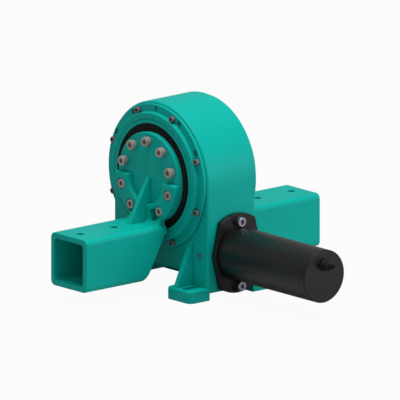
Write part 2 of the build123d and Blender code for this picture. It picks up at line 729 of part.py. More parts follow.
# taper roller bearings, face to face; mouth is +1 where the wide end of the cup faces +Y
for name, start, mouth in (("near", BEARING_NEAR_Y, 1), ("far", far_shoulder, -1)):
    wide, narrow = (start + BEARING_WIDTH, start) if mouth > 0 else (start, start + BEARING_WIDTH)
    taper = 1.5
    with BuildPart() as cup:
        section = outline(
            WORM_SIDE, (narrow, BEARING_R), (narrow, CUP_R - taper), (wide, CUP_R + taper), (wide, BEARING_R)
        )
        revolve(section, WORM_AXIS)
    write(f"{name}_bearing_cup", cup.part)
    with BuildPart() as cone:
        section = outline(
            WORM_SIDE,
            (narrow, JOURNAL_R),
            (narrow, CONE_R - taper),
            (wide, CONE_R + taper),
            (wide, JOURNAL_R),
        )
        revolve(section, WORM_AXIS)
    write(f"{name}_bearing_cone", cone.part)
    roller_gap = 0.2
    middle = (CONE_R + CUP_R) / 2
    tilt = degrees(atan(2 * taper / BEARING_WIDTH)) * mouth
    with BuildPart() as rollers:
        roller_seat = Plane(
            origin=(0, start + BEARING_WIDTH / 2, WORM_HEIGHT + middle),
            x_dir=(1, 0, 0),
            z_dir=(0, cos(radians(tilt)), sin(radians(tilt))),
        )
        with BuildPart(mode=Mode.PRIVATE) as roller:
            with BuildSketch(roller_seat):
                Circle((CUP_R - CONE_R) / 2 * cos(radians(tilt)) - roller_gap)
            extrude(amount=BEARING_WIDTH / 2 - 2.5, both=True)
        for step in range(ROLLER_COUNT):
            add(roller.part.rotate(WORM_AXIS, 360 * step / ROLLER_COUNT))
    write(f"{name}_bearing_rollers", rollers.part)

with BuildPart() as worm_seal:
    lip_r = JOURNAL_R + SEAL_LIP_GAP
    revolve(band(WORM_SIDE, shaft_start, WORM_SEAL_Y, lip_r, BEARING_R), WORM_AXIS)
write("worm_seal", worm_seal.part)

with BuildPart() as bearing_circlip:
    clip_start = BEARING_NEAR_Y - CIRCLIP_THICKNESS
    revolve(band(WORM_SIDE, clip_start, BEARING_NEAR_Y, BEARING_R - 2.5, BEARING_R + CIRCLIP_DEPTH), WORM_AXIS)
    with BuildSketch(across_worm(BEARING_NEAR_Y)):
        with Locations((0, -BEARING_R)):
            Rectangle(9, 12)
    extrude(amount=CIRCLIP_THICKNESS, mode=Mode.SUBTRACT)
write("bearing_circlip", bearing_circlip.part)

cap_spigot_r = BEARING_R - RUNNING_FIT
oring_y = FAR_FLAT_Y - 6
with BuildPart() as worm_end_cap:
    revolve(band(WORM_SIDE, FAR_FLAT_Y, FAR_FLAT_Y + END_CAP_THICKNESS, 0, END_CAP_R), WORM_AXIS)
    revolve(
        band(WORM_SIDE, BEARING_FAR_Y, FAR_FLAT_Y + 1, CUP_R - END_CAP_SPIGOT_WALL, cap_spigot_r), WORM_AXIS
    )
    chamfer(worm_end_cap.edges().group_by(Axis.Y)[-1], 1.0)
    revolve(
        band(WORM_SIDE, oring_y - ORING_R, oring_y + ORING_R, BEARING_R - 2 * ORING_R, BEARING_R),
        WORM_AXIS,
        mode=Mode.SUBTRACT,
    )
    with BuildSketch(across_worm(FAR_FLAT_Y)):
        with PolarLocations(END_CAP_SCREW_CIRCLE_R, END_CAP_SCREW_COUNT, 45):
            Circle(M6[0] + HOLE_GAP)
    extrude(amount=-END_CAP_THICKNESS, mode=Mode.SUBTRACT)
write("worm_end_cap", worm_end_cap.part)

with BuildPart() as end_cap_oring:
    with BuildSketch(WORM_SIDE):
        with Locations((oring_y, BEARING_R - ORING_R)):
            Circle(ORING_R - RUNNING_FIT)
    revolve(axis=WORM_AXIS)
write("end_cap_oring", end_cap_oring.part)

far_face = Plane(
    origin=(0, FAR_FLAT_Y + END_CAP_THICKNESS, WORM_HEIGHT), x_dir=(-1, 0, 0), z_dir=(0, 1, 0)
)
end_cap_screw = socket_screw(M6, END_CAP_THICKNESS + 12)
with BuildPart() as end_cap_screws:
    with Locations(far_face):
        with PolarLocations(END_CAP_SCREW_CIRCLE_R, END_CAP_SCREW_COUNT, 45):
            add(end_cap_screw)
write("end_cap_screws", end_cap_screws.part)

# ---------------------------------------------------------------- gearmotor
ear_edge = FLANGE_EAR_HALF_WIDTH
ear_height = sqrt(FLANGE_R**2 - ear_edge**2) + 3
shaft_tip = MOTOR_FACE_Y + PILOT_DEPTH  # spigot face

with BuildPart() as motor_flange:
    with BuildSketch(across_worm(MOTOR_FACE_Y)) as flange_face:
        with BuildLine():
            Polyline(
                (FLANGE_HALF_WIDTH, 0),
                (ear_edge, ear_height),
                (ear_edge, FLANGE_R + 5),
                (-ear_edge, FLANGE_R + 5),
                (-ear_edge, ear_height),
                (-FLANGE_HALF_WIDTH, 0),
                (-ear_edge, -ear_height),
                (-ear_edge, -FLANGE_R - 5),
                (ear_edge, -FLANGE_R - 5),
                (ear_edge, -ear_height),
                close=True,
            )
        make_face()
        side_corners = flange_face.vertices().filter_by(lambda v: abs(v.Z - WORM_HEIGHT) < 1)
        fillet(side_corners, FLANGE_SIDE_ROUND)
        Circle(FLANGE_R, mode=Mode.INTERSECT)
    extrude(amount=FLANGE_THICKNESS)
    chamfer(motor_flange.faces().sort_by(Axis.Y)[0].edges(), 1.0)
    spigot_end = MOTOR_FACE_Y + PILOT_DEPTH - SIDE_PLAY
    revolve(band(WORM_SIDE, MOTOR_FACE_Y - 1, spigot_end, 0, PILOT_R - RUNNING_FIT), WORM_AXIS)
    # seat for the output bush, and the bolt holes
    revolve(
        band(WORM_SIDE, FLANGE_Y, spigot_end, 0, OUTPUT_SHAFT_R + 4), WORM_AXIS, mode=Mode.SUBTRACT
    )
    with BuildSketch(across_worm(MOTOR_FACE_Y)):
        with Locations((0, FLANGE_BOLT_DROP), (0, -FLANGE_BOLT_DROP)):
            Circle(M10[0] + HOLE_GAP)
    extrude(amount=FLANGE_THICKNESS, mode=Mode.SUBTRACT)
write("motor_flange", motor_flange.part)

with BuildPart() as output_bush:
    revolve(
        band(WORM_SIDE, FLANGE_Y, spigot_end, OUTPUT_SHAFT_R + RUNNING_FIT, OUTPUT_SHAFT_R + 4), WORM_AXIS
    )
write("output_bush", output_bush.part)

flange_screw = socket_screw(M10, FLANGE_THICKNESS + 18)
with BuildPart() as flange_screws:
    with Locations(across_worm(FLANGE_Y)):
        with Locations((0, FLANGE_BOLT_DROP), (0, -FLANGE_BOLT_DROP)):
            add(flange_screw)
write("motor_flange_screws", flange_screws.part)

ring_gear_start = PLANET_Y - PLANET_WIDTH - SIDE_PLAY
ring_gear_outer_r = MOTOR_R - MOTOR_WALL / 2
with BuildPart() as gearbox_case:
    revolve(band(WORM_SIDE, GEARBOX_Y, FLANGE_Y, 0, MOTOR_R), WORM_AXIS)
    revolve(
        band(WORM_SIDE, GEARBOX_Y, FLANGE_Y - MOTOR_WALL, 0, ring_gear_outer_r),
        WORM_AXIS,
        mode=Mode.SUBTRACT,
    )
    revolve(
        band(WORM_SIDE, FLANGE_Y - MOTOR_WALL, FLANGE_Y, 0, OUTPUT_SHAFT_R + 4),
        WORM_AXIS,
        mode=Mode.SUBTRACT,
    )
write("gearbox_case", gearbox_case.part)

gear_plane = Plane(origin=(0, PLANET_Y, WORM_HEIGHT), x_dir=(1, 0, 0), z_dir=(0, -1, 0))
with BuildPart() as ring_gear:
    with BuildSketch(gear_plane):
        Circle(ring_gear_outer_r)
        # a tooth space, not a tooth, faces the first planet
        add(gear_outline(RING_GEAR_TEETH, PLANET_MODULE, PLANET_BACKLASH, internal=True), mode=Mode.SUBTRACT)
    extrude(amount=PLANET_WIDTH)
write("ring_gear", ring_gear.part)

carrier_start = CARRIER_Y - CARRIER_THICKNESS
with BuildPart() as planet_carrier:
    grip_end = shaft_start + OUTPUT_SHAFT_GRIP
    revolve(band(WORM_SIDE, carrier_start, grip_end, 0, OUTPUT_SHAFT_R), WORM_AXIS)
    revolve(band(WORM_SIDE, carrier_start, CARRIER_Y, 0, CARRIER_R), WORM_AXIS)
    with BuildSketch(across_worm(carrier_start)):
        with PolarLocations(PLANET_ORBIT_R, PLANET_COUNT):
            Circle(PLANET_PIN_R)
    extrude(amount=PLANET_WIDTH + SIDE_PLAY)
write("planet_carrier", planet_carrier.part)

planet_face = gear_outline(PLANET_TEETH, PLANET_MODULE, PLANET_BACKLASH)
for number in range(PLANET_COUNT):
    angle = 360 * number / PLANET_COUNT
    with BuildPart() as planet:
        with BuildSketch(gear_plane):
            with PolarLocations(PLANET_ORBIT_R, 1, angle):
                add(planet_face)
                Circle(PLANET_PIN_R + RUNNING_FIT, mode=Mode.SUBTRACT)
        extrude(amount=PLANET_WIDTH)
    write(f"planet_gear_{number + 1}", planet.part)

magnet_outer_r = MOTOR_R - MOTOR_WALL
magnet_inner_r = magnet_outer_r - MAGNET_THICKNESS
rotor_start = GEARBOX_Y - 14 - ROTOR_LENGTH
with BuildPart() as rotor:
    sun_end = PLANET_Y - SIDE_PLAY
    with BuildSketch(Plane(origin=(0, sun_end, WORM_HEIGHT), x_dir=(1, 0, 0), z_dir=(0, -1, 0))):
        add(gear_outline(SUN_TEETH, PLANET_MODULE, PLANET_BACKLASH))
    extrude(amount=PLANET_WIDTH)
    revolve(band(WORM_SIDE, MOTOR_END_Y - 4, sun_end - 1, 0, ROTOR_SHAFT_R), WORM_AXIS)
    revolve(band(WORM_SIDE, rotor_start, rotor_start + ROTOR_LENGTH, 0, ROTOR_R), WORM_AXIS)
    revolve(band(WORM_SIDE, rotor_start - 26, rotor_start - 8, 0, ROTOR_R / 2), WORM_AXIS)
write("rotor", rotor.part)

with BuildPart() as motor_tube:
    revolve(band(WORM_SIDE, MOTOR_END_Y, GEARBOX_Y, 0, MOTOR_R), WORM_AXIS)
    revolve(
        band(WORM_SIDE, MOTOR_END_Y, GEARBOX_Y - MOTOR_WALL, 0, magnet_outer_r),
        WORM_AXIS,
        mode=Mode.SUBTRACT,
    )
    revolve(
        band(WORM_SIDE, GEARBOX_Y - MOTOR_WALL, GEARBOX_Y, 0, ROTOR_SHAFT_R + 3),
        WORM_AXIS,
        mode=Mode.SUBTRACT,
    )
write("motor_tube", motor_tube.part)

with BuildPart() as field_magnets:
    revolve(
        band(WORM_SIDE, rotor_start, rotor_start + ROTOR_LENGTH, magnet_inner_r, magnet_outer_r), WORM_AXIS
    )
    with BuildSketch(across_worm(rotor_start + ROTOR_LENGTH)):
        Rectangle(3 * MOTOR_R, 16)
    extrude(amount=ROTOR_LENGTH, mode=Mode.SUBTRACT)
write("field_magnets", field_magnets.part)

with BuildPart() as end_bell:
    revolve(band(WORM_SIDE, END_BELL_Y, MOTOR_END_Y, 0, MOTOR_R), WORM_AXIS)
    chamfer(end_bell.edges().group_by(Axis.Y)[0], 2.0)
    revolve(
        band(WORM_SIDE, MOTOR_END_Y - 5, MOTOR_END_Y, 0, ROTOR_SHAFT_R + 3), WORM_AXIS, mode=Mode.SUBTRACT
    )
write("end_bell", end_bell.part)

for name, start, end in (
    ("front_rotor_bush", GEARBOX_Y - MOTOR_WALL, GEARBOX_Y),
    ("rear_rotor_bush", MOTOR_END_Y - 5, MOTOR_END_Y),
):
    with BuildPart() as bush:
        revolve(band(WORM_SIDE, start, end, ROTOR_SHAFT_R + RUNNING_FIT, ROTOR_SHAFT_R + 3), WORM_AXIS)
    write(name, bush.part)

gland_face = Plane(
    origin=(0, END_BELL_Y, WORM_HEIGHT + GLAND_RISE), x_dir=(1, 0, 0), z_dir=(0, -1, 0)
)
with BuildPart() as gland_body:
    with BuildSketch(gland_face):
        Circle(GLAND_BASE_R)
    extrude(amount=GLAND_BASE_LENGTH)
    chamfer(gland_body.faces().sort_by(Axis.Y)[0].edges(), 1.0)
write("gland_body", gland_body.part)

with BuildPart() as gland_nut:
    with BuildSketch(gland_face.offset(GLAND_BASE_LENGTH)):
        Circle(GLAND_NUT_R)
    extrude(amount=GLAND_NUT_LENGTH)
    fillet(gland_nut.faces().sort_by(Axis.Y)[0].edges(), 2.0)
    with BuildSketch(gland_face.offset(GLAND_BASE_LENGTH + GLAND_NUT_LENGTH - 1)):
        Circle(GLAND_TIP_R)
    extrude(amount=GLAND_TIP_LENGTH + 1)
write("gland_nut", gland_nut.part)

# ---------------------------------------------------------------- grease fitting on the front face
with BuildPart() as grease_nipple:
    nipple_face = Plane(origin=(FRONT_X, GREASE_Y, WORM_HEIGHT), x_dir=(0, -1, 0), z_dir=(-1, 0, 0))
    with BuildSketch(nipple_face):
        RegularPolygon(radius=4.5, side_count=6, major_radius=False)
    extrude(amount=5)
    with BuildSketch(nipple_face):
        Circle(2.6)
    extrude(amount=11)
    with BuildSketch(nipple_face):
        Circle(NIPPLE_R)
    extrude(amount=-8)
write("grease_nipple", grease_nipple.part)
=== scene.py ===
"""Looks of an enclosed solar slewing drive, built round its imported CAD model.

Everything is in metres, in the model's own frame: X runs along the torque tube, Y along the worm,
+Z is up, and the feet stand on Z = 0.
"""

import json
from math import atan2, cos, pi, radians, sin

import bmesh
import bpy
from mathutils import Matrix, Vector


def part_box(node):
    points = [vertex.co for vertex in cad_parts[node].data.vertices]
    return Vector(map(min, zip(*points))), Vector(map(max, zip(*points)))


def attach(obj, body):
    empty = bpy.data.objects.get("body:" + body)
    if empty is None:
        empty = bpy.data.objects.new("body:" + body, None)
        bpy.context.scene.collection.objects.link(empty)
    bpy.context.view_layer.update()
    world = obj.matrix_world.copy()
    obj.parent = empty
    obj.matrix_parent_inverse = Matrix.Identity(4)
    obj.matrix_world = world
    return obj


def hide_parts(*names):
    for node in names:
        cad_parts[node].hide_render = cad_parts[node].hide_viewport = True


bl_info = {
    "name": "Slewing drive looks",
    "version": (1, 0, 0),
    "blender": (4, 5, 0),
    "location": "View3D > Sidebar > Slewing drive",
    "description": "Paints and details an enclosed solar slewing drive",
    "category": "Object",
}

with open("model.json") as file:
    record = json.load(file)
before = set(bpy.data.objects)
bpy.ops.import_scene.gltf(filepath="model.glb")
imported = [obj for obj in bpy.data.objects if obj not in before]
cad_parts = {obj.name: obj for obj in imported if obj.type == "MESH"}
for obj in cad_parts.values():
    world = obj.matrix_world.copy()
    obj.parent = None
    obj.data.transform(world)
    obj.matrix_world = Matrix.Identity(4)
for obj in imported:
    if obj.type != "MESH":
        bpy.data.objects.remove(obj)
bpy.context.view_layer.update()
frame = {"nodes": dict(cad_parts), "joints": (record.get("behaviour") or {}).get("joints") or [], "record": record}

MM = 0.001
FULL_TURN = 2 * pi
X_AXIS = Vector((1, 0, 0))
Y_AXIS = Vector((0, 1, 0))
Z_AXIS = Vector((0, 0, 1))


# ------------------------------------------------------------------ places read from the frame
def joint(name):
    """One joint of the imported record."""
    return next(j for j in frame["joints"] if j["name"] == name)


OUTPUT_AXIS = Vector(joint("output_turn")["pos_m"])
WORM_AXIS = Vector(joint("worm_turn")["pos_m"])
OUTPUT_CENTRE = Vector((0, 0, OUTPUT_AXIS.z))
WORM_CENTRE = Vector((0, 0, WORM_AXIS.z))


def radius_of(node, axis):
    """Largest distance of a CAD node from an axis along X or Y, seen in the node's height."""
    low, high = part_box(node)
    return max(high[2] - axis.z, axis.z - low[2])


FRONT_COVER_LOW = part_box("front_cover")[0]
REAR_COVER_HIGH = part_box("rear_cover")[1]
FRONT_SEAL_LOW, FRONT_SEAL_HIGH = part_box("front_seal")
REAR_SEAL_LOW, REAR_SEAL_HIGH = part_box("rear_seal")
FLANGE_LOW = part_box("motor_flange")[0]
END_CAP_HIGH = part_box("worm_end_cap")[1]
GLAND_LOW, GLAND_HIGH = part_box("gland_body")
GLAND_NUT_LOW, GLAND_NUT_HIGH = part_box("gland_nut")
PLUG_LOW, PLUG_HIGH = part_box("grease_nipple")
COVER_R = radius_of("front_cover", OUTPUT_AXIS)
SEAL_R = radius_of("front_seal", OUTPUT_AXIS)


# ------------------------------------------------------------------ fixed sizes
# covers
FRONT_FACE_X = -62.5 * MM  # of the front cover's flat ring
REAR_FACE_X = 49.0 * MM
BODY_FRONT_X = -58.0 * MM
BODY_REAR_X = 42.5 * MM
FRONT_RIM_R = 105.5 * MM
REAR_NECK_R = 94.0 * MM
COVER_SPIGOT = 2.0 * MM
FRONT_SPIGOT_STEP = 17 * MM
REAR_SPIGOT_STEP = 20 * MM
COVER_CHAMFER = 1.0 * MM
RIM_CHAMFER = 1.5 * MM
REAR_COVE = 2.0 * MM
REAR_COVE_MIDDLE = 0.6 * MM
GROOVE_DEPTH = 0.7 * MM
SEAL_LIP_R = 74.1 * MM

# screws: head radius, head height, key across flats
M6 = (5.0 * MM, 6.0 * MM, 5.0 * MM)
M10 = (8.0 * MM, 10.0 * MM, 8.0 * MM)
PLUG_HEAD = (4.4 * MM, 2.6 * MM, 3.0 * MM)
HUB_SCREW_CIRCLE_R = 60.325 * MM
FRONT_SCREW_CIRCLE_R = 111.0 * MM
REAR_SCREW_CIRCLE_R = (REAR_NECK_R + COVER_R) / 2
END_CAP_SCREW_CIRCLE_R = 32.0 * MM
FLANGE_BOLT_DROP = 53.2 * MM
COVER_SCREW_ANGLES = [22.5 + 45 * place for place in range(8)]
HUB_SCREW_ANGLES = [90 + 36 * place for place in range(10) if place != 5]
END_CAP_SCREW_ANGLES = (45, 135, 225, 315)
FLANGE_SCREW_ANGLES = (90, 270)

# sockets: X out from the middle of the drive, heights from the output axis
HUB_FACE_X = 78.5 * MM
HUB_BACK_X = 70 * MM
HUB_R = 74.3 * MM
HUB_ROUNDING = 1.2 * MM
PAD_X = 88.5 * MM
PAD_INNER_R = 42.0 * MM
PAD_INSET = 0.02 * MM
PAD_ROUNDING = 4.5 * MM
PAD_TIP_ROUNDING = 3.2 * MM
PAD_START = 180
PAD_SWEEPS = ((5, 1), (170, 90), (5, 1))
NECK_HALF_WIDTH = 38.0 * MM
NECK_TOP_AT_HUB = -40 * MM
NECK_TOP_AT_PAD = -48 * MM
NECK_ROUNDING = 3.5 * MM
# mm out from the pad and up from the box
NECK_COVE = ((0, 6), (0.46, 3.7), (1.76, 1.76), (3.7, 0.46), (6, -0.01))
NECK_REACH = 6 * MM
SOCKET_HALF = 44.0 * MM
SOCKET_WALL = 9.0 * MM
SOCKET_END_X = 249.5 * MM
SOCKET_TOP = -70.5 * MM
SOCKET_BOTTOM = -158.5 * MM
ARM_ROUNDING = 9 * MM
MOUTH_ROUNDING = 1.5 * MM
THROAT, THROAT_HEIGHT = 3.5 * MM, -86 * MM  # out from the hub's face
KNEE, KNEE_HEIGHT = 36.5 * MM, -146 * MM
HEEL = 48.5 * MM
CORE_THROAT_HEIGHT = -98 * MM
CORE_KNEE = (-121.5 * MM, -141 * MM)
CORE_HEEL_X = 136 * MM
BOX_LONG_EDGE = 1 * MM
CORE_ROUNDING = 5 * MM
CORE_LONG_EDGE = 60 * MM
RIB_TOP = 2 * MM
RIB_LAND = 2 * MM
RIB_REACH = 44 * MM
RIB_HALF_WIDTH = 4.5 * MM
RIB_ROUNDING = 1.2 * MM
COUNTERBORE_R = 9.0 * MM
COUNTERBORE_OVERRUN = 9 * MM
COUNTERBORE_ANGLES = (198, 234, 306, 342)
RUN_ON_POCKETS = ((234, 21), (306, -21))  # start and sweep in degrees
TUBE_BOLT_R = 6.5 * MM
TUBE_BOLTS_X = (153.0 * MM, 225.0 * MM)

# angle scale
SCALE_END = 60  # degrees each way
MARK_STEP = 10
NUMBER_STEP = 30
MARK_RING_WIDTH = 7.5 * MM  # from the cover's bore to the marks
LONG_MARK_WIDTH, SHORT_MARK_WIDTH = 0.9 * MM, 0.6 * MM
SHORT_MARK_SHARE = 0.55
DIGIT_HEIGHT_SHARE = 0.72  # of the font's size
STROKE_OFFSET = 0.25 * MM
# a text's right, up and front, turned so that it stands on the front cover
TEXT_UPRIGHT = Matrix(((0, 0, -1, 0), (-1, 0, 0, 0), (0, 1, 0, 0), (0, 0, 0, 1)))

# cable gland
WASHER_THICKNESS = 2.2 * MM
WASHER_CHAMFER_START = 1.6 * MM
WASHER_CHAMFER = 0.6 * MM
WASHER_WIDTH = 5 * MM
GLAND_CAP_BORE_R = 4.2 * MM
GLAND_INSERT_REACH = 5.0 * MM  # of the rubber insert beyond the cap
GLAND_SIDES = 72
GLAND_FLUTE_STEP = 3
GLAND_FLUTE_DEPTH = 0.7 * MM

# stage
FLOOR_HALF = 6.0
FLOOR_DROP = 0.5 * MM
FLOOR_GLOW = 0.95  # share of the floor that the camera sees as plain white
SKY_LIGHT, SKY_SEEN = 0.3, 1.0
LAMPS = (  # name, place, diameter, watts
    ("key", (-0.1, -0.35, 2.2), 1.2, 29.0),
    ("side", (0.9, -1.9, 0.5), 1.0, 10.0),
)
CAMERA_AZIMUTH, CAMERA_ELEVATION = radians(-40.8), radians(13.65)
CAMERA_WIDTH = 0.646
CAMERA_RIGHT, CAMERA_DOWN = 0.0363, 0.0749  # shares of the width
CAMERA_DISTANCE = 3.0

# how far solids that are joined or cut run past a face
OVERRUN = 1 * MM
LAP = 2 * MM
ROOT_LAP = 4 * MM

# how near is the same place
NEAR = 0.1 * MM
SAME = 0.01 * MM


# ------------------------------------------------------------------ sizes and colours to change
class DriveSizes(bpy.types.PropertyGroup):
    """Sizes of the details that the CAD model leaves plain."""

    number_height: bpy.props.FloatProperty(
        name="Number height", description="Height of the numbers on the angle scale",
        default=7.4 * MM, unit="LENGTH",
    )
    number_radius: bpy.props.FloatProperty(
        name="Number radius", description="Output axis to the middle of the scale's numbers",
        default=112.0 * MM, unit="LENGTH",
    )
    tick_length: bpy.props.FloatProperty(
        name="Tick length", description="Length of the long marks on the angle scale",
        default=4.0 * MM, unit="LENGTH",
    )
    relief: bpy.props.FloatProperty(
        name="Relief", description="How far numbers and marks stand proud",
        default=0.3 * MM, unit="LENGTH",
    )


class DriveColours(bpy.types.PropertyGroup):
    """Paint and metal colours, as linear values."""

    paint: bpy.props.FloatVectorProperty(
        name="Paint", description="Enamel on the castings", subtype="COLOR",
        default=(0.0, 0.50, 0.425), min=0.0, max=1.0,
    )
    motor: bpy.props.FloatVectorProperty(
        name="Motor", description="Enamel on the gearmotor", subtype="COLOR",
        default=(0.010, 0.010, 0.010), min=0.0, max=1.0,
    )
    hub_screw: bpy.props.FloatVectorProperty(
        name="Hub screws", description="Steel of the hub screws", subtype="COLOR",
        default=(0.68, 0.54, 0.52), min=0.0, max=1.0,
    )
    cover_screw: bpy.props.FloatVectorProperty(
        name="Cover screws", description="Steel of the cover screws", subtype="COLOR",
        default=(0.30, 0.23, 0.22), min=0.0, max=1.0,
    )
    motor_screw: bpy.props.FloatVectorProperty(
        name="Motor screws", description="Zinc on the motor's screws", subtype="COLOR",
        default=(0.52, 0.48, 0.60), min=0.0, max=1.0,
    )
    ink: bpy.props.FloatVectorProperty(
        name="Scale ink", description="Paint on the scale's numbers and marks", subtype="COLOR",
        default=(0.0, 0.012, 0.011), min=0.0, max=1.0,
    )
    floor: bpy.props.FloatVectorProperty(
        name="Floor", description="Studio floor", subtype="COLOR",
        default=(0.5, 0.5, 0.5), min=0.0, max=1.0,
    )


# ------------------------------------------------------------------ shader maths
class Term:
    """A shader socket that arithmetic can be written on."""

    def __init__(self, finish, socket):
        self.finish = finish
        self.socket = socket

    def _math(self, operation, first, second):
        return self.finish.node("ShaderNodeMath", {"operation": operation}, {0: first, 1: second})

    def __add__(self, other):
        return self._math("ADD", self, other)

    def __mul__(self, other):
        return self._math("MULTIPLY", self, other)

    __radd__ = __add__
    __rmul__ = __mul__


def opaque(value):
    """A colour with its alpha; anything else stays as it is."""
    return (*value, 1.0) if isinstance(value, tuple) and len(value) == 3 else value


class Finish:
    """One procedural material: a Principled shader and the nodes that feed it."""

    def __init__(self, name, **constants):
        self.material = bpy.data.materials.new(name)
        self.material.use_nodes = True
        self.tree = self.material.node_tree
        self.tree.nodes.clear()
        self.output = self.tree.nodes.new("ShaderNodeOutputMaterial")
        self.shader = self.tree.nodes.new("ShaderNodeBsdfPrincipled")
        self.tree.links.new(self.shader.outputs[0], self.output.inputs["Surface"])
        for socket, value in constants.items():
            self.set(socket.replace("_", " "), value)
        self.place = self.node("ShaderNodeTexCoord", output="Object")

    def _feed(self, socket, value):
        if isinstance(value, Term):
            self.tree.links.new(value.socket, socket)
        else:
            socket.default_value = value

    def node(self, kind, settings=None, inputs=None, output=0):
        """Adds a node: its settings first, then the values or links of its sockets."""
        made = self.tree.nodes.new(kind)
        for key, value in (settings or {}).items():
            setattr(made, key, value)
        for key, value in (inputs or {}).items():
            self._feed(made.inputs[key], value)
        return Term(self, made.outputs[output])

    def noise(self, scale, detail=2.0, roughness=0.5, stretch=None):
        """Noise from 0 to 1 in Object coordinates; stretch scales each axis."""
        place = self.place
        if stretch:
            place = self.node("ShaderNodeMapping", None, {"Vector": place, "Scale": stretch})
        inputs = {"Vector": place, "Scale": scale, "Detail": detail, "Roughness": roughness}
        return self.node("ShaderNodeTexNoise", None, inputs, "Fac")

    def ramp(self, factor, low, high):
        """factor stretched so that low gives 0 and high gives 1."""
        inputs = {"Value": factor, "From Min": low, "From Max": high}
        return self.node("ShaderNodeMapRange", {"clamp": True}, inputs)

    def mix(self, factor, first, second):
        """Colour between first and second."""
        inputs = {0: factor, 6: opaque(first), 7: opaque(second)}
        return self.node("ShaderNodeMix", {"data_type": "RGBA"}, inputs, 2)

    def bump(self, height, distance, strength=1.0, normal=None):
        """Normal from a height between 0 and 1, over the surface's own or a given normal."""
        inputs = {"Height": height, "Distance": distance, "Strength": strength}
        if normal:
            inputs["Normal"] = normal
        return self.node("ShaderNodeBump", None, inputs)

    def dot(self, first, second):
        """How far two directions agree, 1 for the same."""
        settings = {"operation": "DOT_PRODUCT"}
        return self.node("ShaderNodeVectorMath", settings, {0: first, 1: second}, "Value")

    def set(self, socket, value):
        """Sets or links one socket of the shader."""
        self._feed(self.shader.inputs[socket], opaque(value))


def tint(colour, factor):
    """colour made lighter or darker."""
    return tuple(min(1.0, part * factor) for part in colour)


def enamel(name, colour, peel=0.00003, gloss=0.38, shine=0.14, round_edges=1.2 * MM):
    """Sprayed enamel over a casting: rounded edges, faint orange peel, cloudy tone, painted shade
    darkening the corners and creases, and paler edges: a painted highlight on the rounded edges that also stands
    for rubbed paint."""
    finish = Finish(name, Metallic=0.0, Specular_IOR_Level=shine)
    cloud = finish.noise(scale=9.0, detail=3.0)
    grain = finish.noise(scale=900.0, detail=2.0, roughness=0.6)
    skin = finish.noise(scale=240.0, detail=3.0, roughness=0.55)
    corner = finish.node("ShaderNodeNewGeometry", output="Normal")
    rounded = finish.node("ShaderNodeBevel", {"samples": 4}, {"Radius": round_edges})
    # painted highlight: the paint turns paler where the rounded edges bend away, also standing in for rubbed paint
    edge_highlight_and_wear = finish.ramp(finish.dot(rounded, corner), low=0.985, high=0.80)
    # painted shade: ambient occlusion darkens the paint in corners and creases, down to a quarter of its colour
    open_sky = finish.node("ShaderNodeAmbientOcclusion", {"samples": 6}, {"Distance": 5 * MM}, "AO")
    crease_shade = finish.ramp(open_sky, low=0.75, high=0.25)
    clouds = finish.ramp(cloud, low=0.3, high=0.7)
    tone = finish.mix(clouds, tint(colour, 0.94), tint(colour, 1.05))
    specks = finish.ramp(grain, low=0.72, high=0.8) * 0.25
    tone = finish.mix(specks, tone, tint(colour, 0.8))
    # how much of the painted edge highlight and rubbed paint shows, broken up by the clouds
    highlight_and_wear_share = edge_highlight_and_wear * (0.25 + 0.3 * cloud)
    tone = finish.mix(highlight_and_wear_share, tone, tint(colour, 1.5))
    # the painted shade in the creases darkens the base colour last
    finish.set("Base Color", finish.mix(crease_shade * 0.75, tone, tint(colour, 0.25)))
    finish.set("Roughness", gloss + 0.08 * cloud + 0.06 * grain)
    finish.set("Normal", finish.bump(skin, peel, normal=rounded))
    return finish.material


def steel(name, colour, roughness=0.3, grain=1500.0, metallic=1.0):
    """Machined or plated steel with fine scratches and stains."""
    finish = Finish(name, Metallic=metallic)
    scratch = finish.noise(grain, detail=2.0, roughness=0.6, stretch=(1.0, 0.15, 1.0))
    stain = finish.noise(scale=60.0, detail=3.0)
    tone = finish.mix(finish.ramp(stain, low=0.35, high=0.7), colour, tint(colour, 0.78))
    finish.set("Base Color", tone)
    finish.set("Roughness", roughness + 0.12 * stain + 0.06 * scratch)
    finish.set("Normal", finish.bump(scratch, distance=0.00001))
    return finish.material


def rubber(name, colour):
    """Moulded rubber: matt with a fine bloom."""
    finish = Finish(name, Metallic=0.0, Specular_IOR_Level=0.3)
    bloom = finish.noise(scale=160.0, detail=3.0)
    finish.set("Base Color", finish.mix(bloom, colour, tint(colour, 1.6)))
    finish.set("Roughness", 0.55 + 0.2 * bloom)
    finish.set("Normal", finish.bump(finish.noise(scale=1200.0), distance=0.00002))
    return finish.material


def dress(node, material):
    """Gives a CAD node its material."""
    mesh = frame["nodes"][node].data
    mesh.materials.clear()
    mesh.materials.append(material)


# ------------------------------------------------------------------ mesh helpers
def mesh_of(name, data):
    """Mesh made of a bmesh, which is freed."""
    mesh = bpy.data.meshes.new(name)
    data.to_mesh(mesh)
    data.free()
    return mesh


def linked(name, data):
    """Object of a mesh, lamp or camera, linked into the scene."""
    made = bpy.data.objects.new(name, data)
    bpy.context.scene.collection.objects.link(made)
    return made


def span(edge):
    """Vector between an edge's ends."""
    return edge.verts[0].co - edge.verts[1].co


def edges_where(data, test):
    """Edges of a bmesh that pass a test."""
    return [edge for edge in data.edges if test(edge)]


def lies_at_x(edge, x, within):
    """Whether both ends of an edge lie at an X."""
    return all(abs(vert.co.x - x) < within for vert in edge.verts)


def soften(data, size, segments=2, sharper_than=25.0, edges=None):
    """Rounds every edge that is sharper than an angle, or only the given edges."""
    limit = radians(sharper_than)
    if edges is None:
        edges = edges_where(data, lambda edge: edge.calc_face_angle(0.0) > limit)
    bmesh.ops.bevel(
        data, geom=edges, offset=size, offset_type="OFFSET", segments=segments, profile=0.5,
        affect="EDGES", material=-1, clamp_overlap=True,
    )


